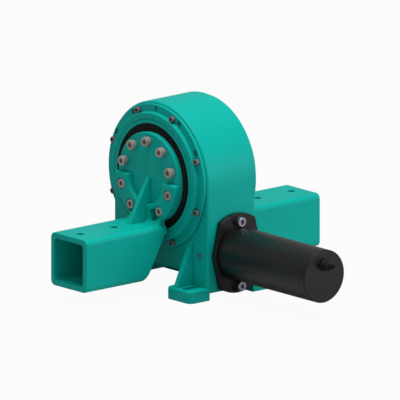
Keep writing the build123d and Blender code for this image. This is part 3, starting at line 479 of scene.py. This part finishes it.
def turned(profile, axis, origin, steps=128):
    """Spins a closed profile of (along, radius) points about an axis along X or Y."""
    data = bmesh.new()
    ring = [data.verts.new(origin + axis * along + Z_AXIS * radius) for along, radius in profile]
    for first, second in zip(ring, ring[1:] + ring[:1]):
        data.edges.new((first, second))
    bmesh.ops.spin(
        data, geom=data.verts[:] + data.edges[:], cent=origin, axis=axis, angle=FULL_TURN,
        steps=steps, use_merge=True,
    )
    bmesh.ops.remove_doubles(data, verts=data.verts, dist=0.001 * MM)
    bmesh.ops.recalc_face_normals(data, faces=data.faces)
    return data


def loop_prism(data, radius, height, sides, turn=0.0):
    """Ring of edges with the given number of sides, standing at a height."""
    made = bmesh.ops.create_circle(
        data, cap_ends=False, radius=radius, segments=sides,
        matrix=Matrix.Translation((0, 0, height)) @ Matrix.Rotation(turn, 4, "Z"),
    )
    return list({edge for vert in made["verts"] for edge in vert.link_edges})


def raise_loop(data, edges, height, scale):
    """Extrudes a ring of edges to a height and scales its new end; returns its edges and verts."""
    made = bmesh.ops.extrude_edge_only(data, edges=edges)["geom"]
    verts = [part for part in made if isinstance(part, bmesh.types.BMVert)]
    rim = [part for part in made if isinstance(part, bmesh.types.BMEdge)]
    rim = [edge for edge in rim if all(vert in verts for vert in edge.verts)]
    for vert in verts:
        vert.co.z = height
    bmesh.ops.scale(data, vec=(scale, scale, 1), verts=verts)
    return rim, verts


def socket_head(size, sides=72):
    """One socket head standing on the XY plane: knurled side, chamfered rim, hexagon recess."""
    radius, height, key = size
    top_share, chamfer_share = 0.91, 0.93
    foot_share, plain_share, knurl_share = 0.96, 0.12, 0.972
    recess_share, drill_share = 0.45, 0.08
    data = bmesh.new()
    rim = loop_prism(data, radius * top_share, height, sides)
    hexagon = loop_prism(data, key / 3**0.5, height, 6)
    hexagon = list({
        edge
        for edge in bmesh.ops.subdivide_edges(data, edges=hexagon, cuts=sides // 6 - 1)["geom"]
        if isinstance(edge, bmesh.types.BMEdge)
    })
    bmesh.ops.bridge_loops(data, edges=rim + hexagon)
    lower, upper_verts = raise_loop(data, rim, height * chamfer_share, 1 / top_share)
    lower, lower_verts = raise_loop(data, lower, height * plain_share, 1.0)
    hollows = [
        vert for vert in upper_verts + lower_verts
        if round(vert.co.to_2d().angle_signed(X_AXIS.to_2d()) * sides / FULL_TURN) % 2
    ]
    bmesh.ops.scale(data, vec=(knurl_share, knurl_share, 1), verts=hollows)
    raise_loop(data, lower, 0.0, foot_share)
    floor = raise_loop(data, hexagon, height * recess_share, 1.0)[0]
    centre = bmesh.ops.contextual_create(data, geom=floor)["faces"]
    bmesh.ops.poke(data, faces=centre, offset=-height * drill_share)
    bmesh.ops.recalc_face_normals(data, faces=data.faces)
    return data


def upright_at(place, facing):
    """Turns +Z towards facing and moves it to a place."""
    return Matrix.Translation(place) @ facing.to_track_quat("Z", "Y").to_matrix().to_4x4()


def repeated(pattern, frames):
    """One mesh that holds the pattern once in each frame."""
    mesh = mesh_of("pattern", pattern)
    data = bmesh.new()
    for frame_matrix in frames:
        before = set(data.verts)
        data.from_mesh(mesh)
        new = [vert for vert in data.verts if vert not in before]
        bmesh.ops.transform(data, matrix=frame_matrix, verts=new)
    bpy.data.meshes.remove(mesh)
    return data


def circle_places(centre, across, up, radius, angles):
    """Points on a circle; angles in degrees from across towards up."""
    return [
        centre + across * radius * cos(radians(angle)) + up * radius * sin(radians(angle))
        for angle in angles
    ]


# ------------------------------------------------------------------ pieces
def finish_piece(name, mesh_data, material, body, slot, replaced=(), smooth_angle=None):
    """Makes an object of a bmesh and lets it ride on a body."""
    mesh = mesh_of(name, mesh_data)
    piece = linked(name, mesh)
    mesh.materials.append(material)
    if smooth_angle is not None:
        mesh.shade_smooth()
        mesh.set_sharp_from_angle(angle=radians(smooth_angle))
        even = piece.modifiers.new("even_normals", "WEIGHTED_NORMAL")
        even.keep_sharp = True
    if replaced:
        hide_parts(*replaced)
    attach(piece, body)
    return piece


def colours():
    """The scene's colour settings."""
    return bpy.context.scene.drive_colours


def sizes():
    """The scene's size settings."""
    return bpy.context.scene.drive_sizes


MATERIALS = {}


class MixFinishes(bpy.types.Operator):
    """Mixes the paints, metals and rubbers"""

    bl_idname = "drive.mix_finishes"
    bl_label = "Finishes"

    def execute(self, context):
        look = colours()
        MATERIALS.update(
            teal_paint=enamel("teal_paint", tuple(look.paint)),
            motor_black=enamel(
                "motor_black", tuple(look.motor), peel=0.00002, gloss=0.24, shine=0.4),
            gland_black=rubber("gland_black", (0.012, 0.012, 0.013)),
            seal_rubber=rubber("seal_rubber", (0.003, 0.003, 0.003)),
            hub_screw=steel("hub_screw", tuple(look.hub_screw), metallic=0.6),
            dark_screw=steel("dark_screw", tuple(look.cover_screw), roughness=0.38, metallic=0.6),
            zinc_screw=steel("zinc_screw", tuple(look.motor_screw), roughness=0.22),
            gear_steel=steel("gear_steel", (0.5, 0.5, 0.51), roughness=0.2),
            bronze=steel("bronze", (0.6, 0.38, 0.16)),
            magnet=rubber("magnet", (0.02, 0.02, 0.022)),
            scale_ink=enamel("scale_ink", tuple(look.ink), peel=0.00001),
        )
        return {"FINISHED"}


class PaintCad(bpy.types.Operator):
    """Gives every CAD node its finish"""

    bl_idname = "drive.paint_cad"
    bl_label = "Paint CAD nodes"

    def execute(self, context):
        slot_of = {part["node"]: part["material_slot"] for part in frame["record"]["subparts"]}
        for node in frame["nodes"]:
            dress(node, MATERIALS[slot_of[node]])
        return {"FINISHED"}


def prism(outline, half_width):
    """Closed solid from an outline of (x, z) points, reaching half_width to each side along Y."""
    data = bmesh.new()
    face = data.faces.new([data.verts.new((x, -half_width, z)) for x, z in outline])
    made = bmesh.ops.extrude_face_region(data, geom=[face])["geom"]
    far = [part for part in made if isinstance(part, bmesh.types.BMVert)]
    bmesh.ops.translate(data, vec=(0, 2 * half_width, 0), verts=far)
    bmesh.ops.recalc_face_normals(data, faces=data.faces)
    return data


def rod(radius, start, end, sides=64):
    """Cylinder between two points."""
    data = bmesh.new()
    along = end - start
    bmesh.ops.create_cone(
        data, cap_ends=True, segments=sides, radius1=radius, radius2=radius, depth=along.length,
        matrix=upright_at((start + end) / 2, along.normalized()),
    )
    return data


def arc_bar(profile, start, sweeps):
    """Sweeps a closed profile of (x, radius) points about the X axis. It starts at an angle in
    degrees, from +Y towards +Z, and each sweep is (degrees, steps)."""
    data = bmesh.new()
    out = Vector((0, cos(radians(start)), sin(radians(start))))
    ring = [data.verts.new(X_AXIS * x + out * radius) for x, radius in profile]
    front = [data.edges.new(pair) for pair in zip(ring, ring[1:] + ring[:1])]
    bmesh.ops.contextual_create(data, geom=front)
    for degrees, steps in sweeps:
        front = bmesh.ops.spin(
            data, geom=front, cent=(0, 0, 0), axis=X_AXIS, angle=radians(degrees), steps=steps,
            use_merge=False,
        )["geom_last"]
        front = [part for part in front if isinstance(part, bmesh.types.BMEdge)]
    bmesh.ops.contextual_create(data, geom=front)
    bmesh.ops.recalc_face_normals(data, faces=data.faces)
    return data


def quarter(x, radius, round_r, start):
    """Points of a quarter circle in a turned profile, clockwise from start degrees."""
    steps = 6
    angles = [radians(start - 90 * step / steps) for step in range(steps + 1)]
    return [(x + round_r * cos(angle), radius + round_r * sin(angle)) for angle in angles]


def combined(base, steps):
    """Works each (operation, solid) of steps on the base solid and returns the result."""
    piece = linked("work", mesh_of("work", base))
    for operation, solid in steps:
        tool_mesh = mesh_of("tool", solid)
        tool = linked("tool", tool_mesh)
        cut = piece.modifiers.new("cut", "BOOLEAN")
        cut.operation = operation
        cut.solver = "EXACT"
        cut.object = tool
        evaluated = piece.evaluated_get(bpy.context.evaluated_depsgraph_get())
        worked = bpy.data.meshes.new_from_object(evaluated)
        piece.modifiers.clear()
        piece.data = worked
        bpy.data.objects.remove(tool)
        bpy.data.meshes.remove(tool_mesh)
    data = bmesh.new()
    data.from_mesh(piece.data)
    bpy.data.objects.remove(piece)
    bmesh.ops.remove_doubles(data, verts=data.verts, dist=0.005 * MM)
    bmesh.ops.recalc_face_normals(data, faces=data.faces)
    open_edges = sum(not edge.is_manifold for edge in data.edges)
    if open_edges:
        raise RuntimeError(f"the casting has {open_edges} open edges")
    return data


# ------------------------------------------------------------------ parts of the front socket
def socket_box():
    """Rounded box that the torque tube sits in, still solid."""
    root = OVERRUN - HUB_FACE_X
    box = prism(
        [(-SOCKET_END_X, SOCKET_TOP), (root, SOCKET_TOP), (root, SOCKET_BOTTOM),
         (-SOCKET_END_X, SOCKET_BOTTOM)],
        SOCKET_HALF,
    )
    long_edges = edges_where(box, lambda edge: abs(span(edge).x) > BOX_LONG_EDGE)
    soften(box, ARM_ROUNDING, 6, edges=long_edges)
    mouth = edges_where(box, lambda edge: lies_at_x(edge, -SOCKET_END_X, NEAR))
    soften(box, MOUTH_ROUNDING, 3, edges=mouth)
    return box


def socket_underside():
    """What the slanted underside takes off the box."""
    root, below = LAP - HUB_FACE_X, SOCKET_BOTTOM - OVERRUN
    return prism(
        [(root, THROAT_HEIGHT), (-THROAT - HUB_FACE_X, THROAT_HEIGHT),
         (-KNEE - HUB_FACE_X, KNEE_HEIGHT), (-HEEL - HUB_FACE_X, SOCKET_BOTTOM),
         (-HEEL - HUB_FACE_X, below), (root, below)],
        SOCKET_HALF + OVERRUN,
    )


def socket_core():
    """Hollow of the box."""
    mouth = -SOCKET_END_X - OVERRUN
    ceiling, ground = SOCKET_TOP - SOCKET_WALL, SOCKET_BOTTOM + SOCKET_WALL
    core = prism(
        [(mouth, ceiling), (-PAD_X - SOCKET_WALL, ceiling),
         (-PAD_X - SOCKET_WALL, CORE_THROAT_HEIGHT), CORE_KNEE, (-CORE_HEEL_X, ground),
         (mouth, ground)],
        SOCKET_HALF - SOCKET_WALL,
    )
    long_edges = edges_where(core, lambda edge: abs(span(edge).x) > CORE_LONG_EDGE)
    soften(core, CORE_ROUNDING, 4, edges=long_edges)
    return core


def hub_disc():
    """Disc that is screwed to the output ring."""
    disc = rod(HUB_R, X_AXIS * -HUB_BACK_X, X_AXIS * -HUB_FACE_X, 160)
    rim = edges_where(disc, lambda edge: lies_at_x(edge, -HUB_FACE_X, SAME))
    soften(disc, HUB_ROUNDING, 3, edges=rim)
    return disc


def hub_pad():
    """Raised pad round the lower half of the disc."""
    outer_r = HUB_R - PAD_INSET
    face, root = PAD_ROUNDING - PAD_X, LAP - HUB_FACE_X
    pad = arc_bar(
        [(root, PAD_INNER_R)]
        + quarter(face, PAD_INNER_R + PAD_ROUNDING, PAD_ROUNDING, 270)
        + quarter(face, outer_r - PAD_ROUNDING, PAD_ROUNDING, 180)
        + [(root, outer_r)],
        PAD_START, PAD_SWEEPS,
    )
    tips = edges_where(pad, lambda edge: (
        all(abs(vert.co.z) < SAME for vert in edge.verts)
        and any(vert.co.x < -HUB_FACE_X - OVERRUN for vert in edge.verts)
    ))
    soften(pad, PAD_TIP_ROUNDING, 4, edges=tips)
    return pad


def socket_neck():
    """Neck from the pad to the box, with a cove at its foot."""
    root, below = OVERRUN - HUB_FACE_X, SOCKET_TOP - ROOT_LAP
    neck = prism(
        [(root, NECK_TOP_AT_HUB), (-PAD_X, NECK_TOP_AT_PAD)]
        + [(-PAD_X - out * MM, SOCKET_TOP + up * MM) for out, up in NECK_COVE]
        + [(-PAD_X - NECK_REACH, below), (root, below)],
        NECK_HALF_WIDTH,
    )
    upright = edges_where(neck, lambda edge: (
        abs(span(edge).y) < SAME and all(vert.co.x < -PAD_X + NEAR for vert in edge.verts)
    ))
    soften(neck, NECK_ROUNDING, 4, edges=upright)
    return neck


def socket_rib():
    """Gusset rib from the hub's middle down to the box."""
    root, below = OVERRUN - HUB_FACE_X, SOCKET_TOP - ROOT_LAP
    foot = -HUB_FACE_X - RIB_REACH
    rib = prism(
        [(root, RIB_TOP), (-HUB_FACE_X - RIB_LAND, RIB_TOP), (foot, SOCKET_TOP), (foot, below),
         (root, below)],
        RIB_HALF_WIDTH,
    )
    outer = edges_where(rib, lambda edge: (
        all(
            vert.co.z > SOCKET_TOP - OVERRUN and vert.co.x < -HUB_FACE_X + NEAR
            for vert in edge.verts
        )
        and abs(span(edge).y) < SAME
    ))
    soften(rib, RIB_ROUNDING, 3, edges=outer)
    return rib


def hub_pockets():
    """Counterbores in the pad, and the pockets that run on from the lowest two."""
    floor, top = -HUB_FACE_X, -PAD_X - COUNTERBORE_OVERRUN
    inner, outer = HUB_SCREW_CIRCLE_R - COUNTERBORE_R, HUB_SCREW_CIRCLE_R + COUNTERBORE_R
    for angle in COUNTERBORE_ANGLES:
        centre = Vector((0, cos(radians(angle)), sin(radians(angle)))) * HUB_SCREW_CIRCLE_R
        yield rod(COUNTERBORE_R, centre + X_AXIS * floor, centre + X_AXIS * top)
    for start, sweep in RUN_ON_POCKETS:
        yield arc_bar(
            [(floor, inner), (top, inner), (top, outer), (floor, outer)], start, ((sweep, 8),))


def tube_bolt_holes():
    """Upright holes through the box for the torque tube's bolts."""
    for x in TUBE_BOLTS_X:
        low, high = SOCKET_BOTTOM - OVERRUN, SOCKET_TOP + OVERRUN
        yield rod(TUBE_BOLT_R, Vector((-x, 0, low)), Vector((-x, 0, high)))


class CastSockets(bpy.types.Operator):
    """Casts the two torque-tube sockets: box, hub disc, padded arms, neck and rib"""

    bl_idname = "drive.cast_sockets"
    bl_label = "Torque-tube sockets"

    def execute(self, context):
        steps = [("DIFFERENCE", socket_underside()), ("UNION", hub_disc()), ("UNION", hub_pad()),
                 ("UNION", socket_neck()), ("UNION", socket_rib()), ("DIFFERENCE", socket_core())]
        steps += [("DIFFERENCE", cutter) for cutter in (*hub_pockets(), *tube_bolt_holes())]
        front = combined(socket_box(), steps)
        rear = front.copy()
        bmesh.ops.scale(rear, vec=(-1, 1, 1), verts=rear.verts)
        bmesh.ops.recalc_face_normals(rear, faces=rear.faces)
        for name, data in (("front_socket", front), ("rear_socket", rear)):
            bmesh.ops.translate(data, vec=(0, 0, OUTPUT_AXIS.z), verts=data.verts)
            finish_piece(name + "_cast", data, MATERIALS["teal_paint"], "output", "teal_paint",
                         (name,), 32)
        return {"FINISHED"}


class TurnCovers(bpy.types.Operator):
    """Turns the two covers, with their grooves and rounded edges"""

    bl_idname = "drive.turn_covers"
    bl_label = "Covers"

    def execute(self, context):
        bore, rim_x = SEAL_R, FRONT_COVER_LOW.x
        # one groove round the rim, between the seal and the marks
        front = [
            (BODY_FRONT_X + COVER_SPIGOT, bore), (rim_x, bore),
            (rim_x, bore + 5.0 * MM), (rim_x + GROOVE_DEPTH, bore + 5.3 * MM),
            (rim_x + GROOVE_DEPTH, bore + 6.2 * MM), (rim_x, bore + 6.5 * MM),
            (rim_x, FRONT_RIM_R - RIM_CHAMFER), (rim_x + RIM_CHAMFER, FRONT_RIM_R),
            (FRONT_FACE_X - COVER_CHAMFER, FRONT_RIM_R),
            (FRONT_FACE_X, FRONT_RIM_R + COVER_CHAMFER),
            (FRONT_FACE_X, COVER_R - COVER_CHAMFER), (FRONT_FACE_X + COVER_CHAMFER, COVER_R),
            (BODY_FRONT_X, COVER_R), (BODY_FRONT_X, COVER_R - FRONT_SPIGOT_STEP),
            (BODY_FRONT_X + COVER_SPIGOT, COVER_R - FRONT_SPIGOT_STEP),
        ]
        rim_x = REAR_COVER_HIGH.x
        rear = [
            (BODY_REAR_X - COVER_SPIGOT, bore), (rim_x, bore),
            (rim_x, REAR_NECK_R - RIM_CHAMFER), (rim_x - RIM_CHAMFER, REAR_NECK_R),
            (REAR_FACE_X + REAR_COVE, REAR_NECK_R),
            (REAR_FACE_X + REAR_COVE_MIDDLE, REAR_NECK_R + REAR_COVE_MIDDLE),
            (REAR_FACE_X, REAR_NECK_R + REAR_COVE), (REAR_FACE_X, COVER_R - COVER_CHAMFER),
            (REAR_FACE_X - COVER_CHAMFER, COVER_R), (BODY_REAR_X, COVER_R),
            (BODY_REAR_X, COVER_R - REAR_SPIGOT_STEP),
            (BODY_REAR_X - COVER_SPIGOT, COVER_R - REAR_SPIGOT_STEP),
        ]
        for node, profile in (("front_cover", front), ("rear_cover", rear)):
            data = turned(profile, X_AXIS, OUTPUT_CENTRE, 192)
            finish_piece(node + "_turned", data, MATERIALS["teal_paint"], "root", "teal_paint",
                         (node,), 30)
        return {"FINISHED"}


class MouldSeals(bpy.types.Operator):
    """Moulds the two lip seals between the covers and the output ring"""

    bl_idname = "drive.mould_seals"
    bl_label = "Seals"

    def execute(self, context):
        lip = SEAL_LIP_R
        for name, outer_x, inward, inner_x in (
            ("front_seal", FRONT_SEAL_LOW.x, 1, FRONT_SEAL_HIGH.x),
            ("rear_seal", REAR_SEAL_HIGH.x, -1, REAR_SEAL_LOW.x),
        ):
            profile = [
                (outer_x, SEAL_R), (outer_x, SEAL_R - 3.0 * MM),
                (outer_x + inward * 1.2 * MM, SEAL_R - 4.2 * MM),
                (outer_x + inward * 2.2 * MM, SEAL_R - 6.0 * MM),
                (outer_x + inward * 2.2 * MM, lip + 4.6 * MM),
                (outer_x + inward * 1.0 * MM, lip + 3.2 * MM),
                (outer_x + inward * 0.2 * MM, lip + 1.2 * MM),
                (outer_x + inward * 0.6 * MM, lip), (outer_x + inward * 3.0 * MM, lip + 0.9 * MM),
                (inner_x, lip + 1.6 * MM), (inner_x, SEAL_R),
            ]
            data = turned(profile, X_AXIS, OUTPUT_CENTRE, 160)
            finish_piece(name + "_lips", data, MATERIALS["seal_rubber"], "root", "seal_rubber",
                         (name,), 40)
        return {"FINISHED"}


class SetScrews(bpy.types.Operator):
    """Sets knurled socket heads in the covers, the hubs, the end cap and the flange"""

    bl_idname = "drive.set_screws"
    bl_label = "Screws"

    def execute(self, context):
        groups = (
            ("front_cover_screws", M6, -X_AXIS, Y_AXIS, Z_AXIS, OUTPUT_CENTRE, FRONT_FACE_X,
             FRONT_SCREW_CIRCLE_R, COVER_SCREW_ANGLES, "dark_screw", "root"),
            ("rear_cover_screws", M6, X_AXIS, Y_AXIS, Z_AXIS, OUTPUT_CENTRE, REAR_FACE_X,
             REAR_SCREW_CIRCLE_R, COVER_SCREW_ANGLES, "dark_screw", "root"),
            ("front_hub_screws", M10, -X_AXIS, Y_AXIS, Z_AXIS, OUTPUT_CENTRE, -HUB_FACE_X,
             HUB_SCREW_CIRCLE_R, HUB_SCREW_ANGLES, "hub_screw", "output"),
            ("rear_hub_screws", M10, X_AXIS, Y_AXIS, Z_AXIS, OUTPUT_CENTRE, HUB_FACE_X,
             HUB_SCREW_CIRCLE_R, HUB_SCREW_ANGLES, "hub_screw", "output"),
            ("end_cap_screws", M6, Y_AXIS, X_AXIS, Z_AXIS, WORM_CENTRE, END_CAP_HIGH.y,
             END_CAP_SCREW_CIRCLE_R, END_CAP_SCREW_ANGLES, "dark_screw", "root"),
            ("motor_flange_screws", M10, -Y_AXIS, X_AXIS, Z_AXIS, WORM_CENTRE, FLANGE_LOW.y,
             FLANGE_BOLT_DROP, FLANGE_SCREW_ANGLES, "zinc_screw", "root"),
        )
        for name, size, facing, across, up, centre, face, circle, angles, slot, body in groups:
            seat = centre + Vector([abs(part) for part in facing]) * face
            places = circle_places(seat, across, up, circle, angles)
            data = repeated(socket_head(size), [upright_at(place, facing) for place in places])
            finish_piece(name + "_heads", data, MATERIALS[slot], body, slot, (name,), 30)
        return {"FINISHED"}


def scale_place(step):
    """Turn about the output axis to a place on the scale, in degrees."""
    return Matrix.Translation(OUTPUT_CENTRE) @ Matrix.Rotation(radians(-step), 4, "X")


class MarkScale(bpy.types.Operator):
    """Raises the angle scale's numbers and marks on the front cover"""

    bl_idname = "drive.mark_scale"
    bl_label = "Angle scale"

    def execute(self, context):
        size = sizes()
        for name, make in (("scale_marks", self.marks), ("scale_numbers", self.numbers)):
            finish_piece(name, make(size), MATERIALS["scale_ink"], "root", "motor_black")
        return {"FINISHED"}

    def marks(self, size):
        data = bmesh.new()
        for step in range(-SCALE_END, SCALE_END + 1, MARK_STEP):
            long_mark = step % NUMBER_STEP == 0
            length = size.tick_length * (1.0 if long_mark else SHORT_MARK_SHARE)
            width = LONG_MARK_WIDTH if long_mark else SHORT_MARK_WIDTH
            mark = bmesh.ops.create_cube(
                data, size=1.0, matrix=Matrix.Diagonal((size.relief, width, length, 1.0))
            )["verts"]
            middle = Vector((FRONT_COVER_LOW.x, 0, SEAL_R + MARK_RING_WIDTH + length / 2))
            bmesh.ops.translate(data, vec=middle, verts=mark)
            bmesh.ops.transform(data, matrix=scale_place(step), verts=mark)
        soften(data, size.relief * 0.3, 1)
        return data

    def numbers(self, size):
        data = bmesh.new()
        out = Matrix.Translation((FRONT_FACE_X, 0, size.number_radius))
        for step in range(-SCALE_END, SCALE_END + 1, NUMBER_STEP):
            curve = bpy.data.curves.new("number", "FONT")
            curve.body = str(abs(step))
            curve.size = size.number_height / DIGIT_HEIGHT_SHARE
            curve.extrude = size.relief / 2
            curve.offset = STROKE_OFFSET
            curve.align_x = "CENTER"
            curve.align_y = "CENTER"
            text = bpy.data.objects.new("number", curve)
            mesh = bpy.data.meshes.new_from_object(text)
            before = set(data.verts)
            data.from_mesh(mesh)
            new = [vert for vert in data.verts if vert not in before]
            bmesh.ops.transform(data, matrix=scale_place(step) @ out @ TEXT_UPRIGHT, verts=new)
            bpy.data.objects.remove(text)
            bpy.data.curves.remove(curve)
            bpy.data.meshes.remove(mesh)
        bmesh.ops.remove_doubles(data, verts=data.verts, dist=0.001 * MM)
        return data


class FitGland(bpy.types.Operator):
    """Fits the cable gland: washer, hexagon body, ribbed cap nut and rubber insert"""

    bl_idname = "drive.fit_gland"
    bl_label = "Cable gland"

    def execute(self, context):
        centre = (GLAND_LOW + GLAND_HIGH) / 2
        origin = Vector((centre.x, 0, centre.z))
        seat, step, tip = GLAND_HIGH.y, GLAND_LOW.y, GLAND_NUT_LOW.y
        base_r = (GLAND_HIGH.z - GLAND_LOW.z) / 2
        nut_r = (GLAND_NUT_HIGH.z - GLAND_NUT_LOW.z) / 2
        washer_face, washer_bore = seat - WASHER_THICKNESS, base_r - WASHER_WIDTH
        washer = turned(
            [(seat, washer_bore), (seat, base_r), (seat - WASHER_CHAMFER_START, base_r),
             (washer_face, base_r - WASHER_CHAMFER), (washer_face, washer_bore)],
            Y_AXIS, origin, 64)
        finish_piece("gland_washer", washer, MATERIALS["seal_rubber"], "root", "gland_black",
                     (), 30)
        hexagon = bmesh.new()
        bmesh.ops.create_cone(
            hexagon, cap_ends=True, segments=6, radius1=base_r, radius2=base_r,
            depth=(seat - step) - WASHER_THICKNESS,
            matrix=upright_at(origin + Y_AXIS * ((washer_face + step) / 2), -Y_AXIS),
        )
        soften(hexagon, 0.5 * MM, 3)
        finish_piece("gland_hexagon", hexagon, MATERIALS["gland_black"], "root", "gland_black",
                     ("gland_body",), 30)
        shoulder = tip + GLAND_INSERT_REACH
        dome = turned(
            [(step, GLAND_CAP_BORE_R), (step, nut_r), (step - 5.5 * MM, nut_r),
             (shoulder + 1.6 * MM, nut_r - 0.7 * MM), (shoulder + 0.4 * MM, nut_r - 2.0 * MM),
             (shoulder, nut_r - 3.4 * MM), (shoulder, GLAND_CAP_BORE_R)],
            Y_AXIS, origin, GLAND_SIDES)
        for vert in dome.verts:
            out = Vector((vert.co.x - origin.x, 0, vert.co.z - origin.z))
            if vert.co.y <= shoulder + 1.0 * MM or out.length <= nut_r - 1.0 * MM:
                continue
            if round(atan2(out.z, out.x) * GLAND_SIDES / FULL_TURN) % GLAND_FLUTE_STEP == 0:
                vert.co -= out.normalized() * GLAND_FLUTE_DEPTH
        finish_piece("gland_cap", dome, MATERIALS["gland_black"], "root", "gland_black",
                     ("gland_nut",), 30)
        insert = turned(
            [(shoulder + 2 * MM, 2.2 * MM), (shoulder + 2 * MM, 4.9 * MM),
             (tip + 0.8 * MM, 4.9 * MM), (tip, 4.2 * MM), (tip, 2.9 * MM),
             (tip + 0.9 * MM, 2.2 * MM)],
            Y_AXIS, origin, 48)
        bmesh.ops.create_circle(
            insert, cap_ends=True, radius=2.4 * MM, segments=32,
            matrix=upright_at(origin + Y_AXIS * (tip + 3 * MM), -Y_AXIS),
        )
        finish_piece("gland_insert", insert, MATERIALS["seal_rubber"], "root", "seal_rubber",
                     (), 30)
        return {"FINISHED"}


class FitGreasePlug(bpy.types.Operator):
    """Screws the grease plug into the motor-side block"""

    bl_idname = "drive.fit_grease_plug"
    bl_label = "Grease plug"

    def execute(self, context):
        middle = (PLUG_LOW + PLUG_HIGH) / 2
        place = Vector((BODY_FRONT_X, middle.y, middle.z))
        head = repeated(socket_head(PLUG_HEAD), [upright_at(place, -X_AXIS)])
        finish_piece("grease_plug_head", head, MATERIALS["zinc_screw"], "root", "zinc_screw",
                     ("grease_nipple",), 30)
        return {"FINISHED"}


class SetStage(bpy.types.Operator):
    """Lays the studio floor and sets the lights and the camera"""

    bl_idname = "drive.set_stage"
    bl_label = "Set the stage"

    def execute(self, context):
        self.lay_floor()
        self.light(context.scene)
        self.aim_camera(context.scene)
        return {"FINISHED"}

    def lay_floor(self):
        data = bmesh.new()
        bmesh.ops.create_grid(data, x_segments=1, y_segments=1, size=FLOOR_HALF)
        mesh = mesh_of("floor", data)
        floor = linked("floor", mesh)
        floor.location.z = -FLOOR_DROP
        finish = Finish("floor_white", Roughness=0.9, Specular_IOR_Level=0.1)
        finish.set("Base Color", tuple(colours().floor))
        glow = finish.node("ShaderNodeEmission", None, {"Color": (1, 1, 1, 1), "Strength": 1.0})
        path = finish.tree.nodes.new("ShaderNodeLightPath")
        seen = Term(finish, path.outputs["Is Camera Ray"])
        blend = finish.node(
            "ShaderNodeMixShader", None,
            {0: seen * FLOOR_GLOW, 1: Term(finish, finish.shader.outputs[0]), 2: glow},
        )
        finish.tree.links.new(blend.socket, finish.output.inputs["Surface"])
        mesh.materials.append(finish.material)

    def light(self, scene):
        world = bpy.data.worlds.new("studio")
        world.use_nodes = True
        scene.world = world
        tree = world.node_tree
        tree.nodes.clear()
        output = tree.nodes.new("ShaderNodeOutputWorld")
        soft, bright = (self.background(tree, strength) for strength in (SKY_LIGHT, SKY_SEEN))
        path = tree.nodes.new("ShaderNodeLightPath")
        mix = tree.nodes.new("ShaderNodeMixShader")
        tree.links.new(path.outputs["Is Camera Ray"], mix.inputs[0])
        tree.links.new(soft.outputs[0], mix.inputs[1])
        tree.links.new(bright.outputs[0], mix.inputs[2])
        tree.links.new(mix.outputs[0], output.inputs["Surface"])
        for lamp in LAMPS:
            self.lamp(*lamp)

    def background(self, tree, strength):
        made = tree.nodes.new("ShaderNodeBackground")
        made.inputs["Color"].default_value = (1, 1, 1, 1)
        made.inputs["Strength"].default_value = strength
        return made

    def lamp(self, name, place, size, power):
        data = bpy.data.lights.new(name, "AREA")
        data.shape = "DISK"
        data.size = size
        data.energy = power
        lamp = linked(name, data)
        lamp.location = place
        aim = OUTPUT_AXIS - Vector(place)
        lamp.rotation_euler = aim.to_track_quat("-Z", "Y").to_euler()

    def aim_camera(self, scene):
        azimuth, elevation, width = CAMERA_AZIMUTH, CAMERA_ELEVATION, CAMERA_WIDTH
        right = Vector((cos(azimuth), sin(azimuth), 0))
        back = Vector((
            sin(azimuth) * cos(elevation), -cos(azimuth) * cos(elevation), sin(elevation)))
        up = back.cross(right)
        centre = OUTPUT_AXIS + right * CAMERA_RIGHT * width - up * CAMERA_DOWN * width
        data = bpy.data.cameras.new("camera")
        data.type = "ORTHO"
        data.ortho_scale = width
        camera = linked("camera", data)
        camera.location = centre + back * CAMERA_DISTANCE
        camera.rotation_euler = (-back).to_track_quat("-Z", "Y").to_euler()
        scene.camera = camera
        scene.view_settings.view_transform = "Standard"


class DRIVE_PT_pieces(bpy.types.Panel):
    """Lists the drive's operators and settings"""

    bl_label = "Slewing drive"
    bl_space_type = "VIEW_3D"
    bl_region_type = "UI"
    bl_category = "Slewing drive"

    def draw(self, context):
        for group in (context.scene.drive_sizes, context.scene.drive_colours):
            for setting in group.__annotations__:
                self.layout.prop(group, setting)
        for operator in OPERATORS:
            self.layout.operator(operator.bl_idname)


OPERATORS = (
    MixFinishes, PaintCad, TurnCovers, CastSockets, MouldSeals, SetScrews, MarkScale, FitGland,
    FitGreasePlug, SetStage,
)
CLASSES = (DriveSizes, DriveColours, *OPERATORS, DRIVE_PT_pieces)


def register():
    for cls in CLASSES:
        bpy.utils.register_class(cls)
    bpy.types.Scene.drive_sizes = bpy.props.PointerProperty(type=DriveSizes)
    bpy.types.Scene.drive_colours = bpy.props.PointerProperty(type=DriveColours)


def unregister():
    del bpy.types.Scene.drive_colours
    del bpy.types.Scene.drive_sizes
    for cls in reversed(CLASSES):
        bpy.utils.unregister_class(cls)


def main():
    register()
    for operator in OPERATORS:
        group, name = operator.bl_idname.split(".")
        getattr(getattr(bpy.ops, group), name)()


if __name__ == "__main__":
    main()
